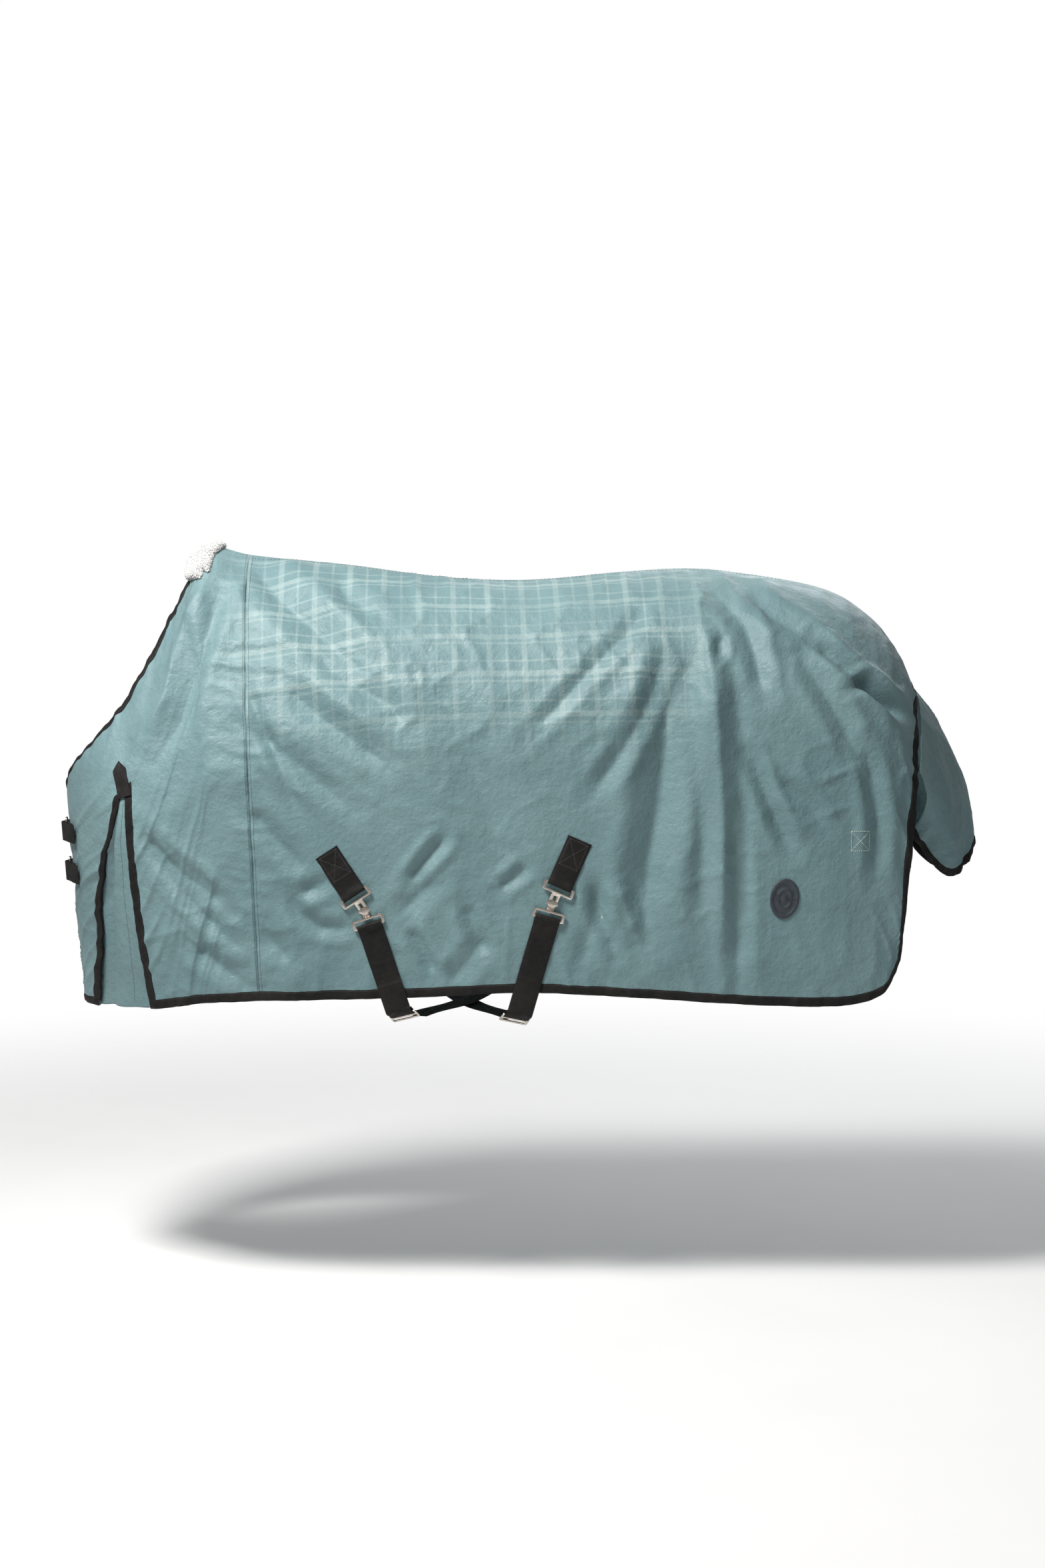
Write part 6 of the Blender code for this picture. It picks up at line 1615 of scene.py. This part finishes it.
mesh.set_sharp_from_angle(angle=math.radians(50))
badge = bpy.data.objects.new("rubber_badge", mesh)
bpy.context.scene.collection.objects.link(badge)
mesh.materials.append(badge_rubber())
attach(badge, "rug")
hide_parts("badge")

# ================================================================ Floor, light and camera
# A round pale floor that fades into a white studio, a soft key light above the near shoulder, and weak
# fills for the front and the far side.

def floor_material():
    material, tree, shader = new_material("pale floor")
    here = node(tree, "ShaderNodeTexCoord").outputs["Object"]
    pale = mixed(tree, noise_of(tree, here, 3.0), (0.86, 0.86, 0.86), (0.90, 0.90, 0.90))
    tree.links.new(pale, shader.inputs["Base Color"])
    tree.links.new(stepped(tree, noise_of(tree, here, 9.0), 0.3, 0.7, 0.8, 0.9), shader.inputs["Roughness"])
    away = node(tree, "ShaderNodeVectorMath", {0: here, 1: (1, 1, 0)}, operation="MULTIPLY").outputs[0]
    away = node(tree, "ShaderNodeVectorMath", {0: away}, operation="LENGTH").outputs["Value"]
    tree.links.new(stepped(tree, away, 1.3, 3.6, 1.0, 0.0), shader.inputs["Alpha"])
    return material


def make_floor():
    """A round floor that fades into the white of the studio."""
    mesh = bpy.data.meshes.new("floor")
    turn = [2 * math.pi * k / 96 for k in range(96)]
    mesh.from_pydata([(4 * math.cos(a), 4 * math.sin(a), -1.42) for a in turn], [], [list(range(96))])
    mesh.materials.append(floor_material())
    floor = bpy.data.objects.new("floor", mesh)
    bpy.context.scene.collection.objects.link(floor)


def add_light(name, place, target, energy, wide, tall, colour):
    data = bpy.data.lights.new(name, "AREA")
    data.shape, data.size, data.size_y = "RECTANGLE", wide, tall
    data.energy, data.color = energy, colour
    light = bpy.data.objects.new(name, data)
    light.location = place
    light.rotation_euler = (Vector(target) - Vector(place)).to_track_quat("-Z", "Y").to_euler()
    bpy.context.scene.collection.objects.link(light)


make_floor()
add_light("overhead", (-1.5, -1.7, 2.3), (0.05, -0.2, -0.45), 185, 1.0, 0.8, (1.0, 0.985, 0.96))
add_light("front fill", (2.6, -4.4, 0.4), (0, 0, -0.5), 8, 2.5, 2.0, (0.97, 0.99, 1.0))
add_light("far side", (1.4, 3.2, 1.6), (0, 0.2, -0.5), 50, 2.4, 1.6, (0.93, 0.97, 1.0))
world = bpy.data.worlds.new("studio")
world.use_nodes = True
tree = world.node_tree
# the studio's walls look white, but give only a little light
seen = node(tree, "ShaderNodeLightPath").outputs["Is Camera Ray"]
strength = node(tree, "ShaderNodeMapRange", {"Value": seen, "To Min": 0.26, "To Max": 1.0}).outputs[0]
tree.nodes["Background"].inputs["Color"].default_value = (1.0, 1.0, 1.0, 1)
tree.links.new(strength, tree.nodes["Background"].inputs["Strength"])
bpy.context.scene.world = world
bpy.context.scene.view_settings.view_transform = "Standard"

CAMERA_DISTANCE, CAMERA_RISE = 6.0, math.radians(5)
TARGET = Vector((0, 0, -0.4165))
lens = bpy.data.cameras.new("camera")
lens.lens, lens.sensor_width = 67.0, 36.0
camera = bpy.data.objects.new("camera", lens)
camera.location = TARGET + CAMERA_DISTANCE * Vector((0, -math.cos(CAMERA_RISE), math.sin(CAMERA_RISE)))
camera.rotation_euler = (TARGET - camera.location).to_track_quat("-Z", "Y").to_euler()
bpy.context.scene.collection.objects.link(camera)
bpy.context.scene.camera = camera
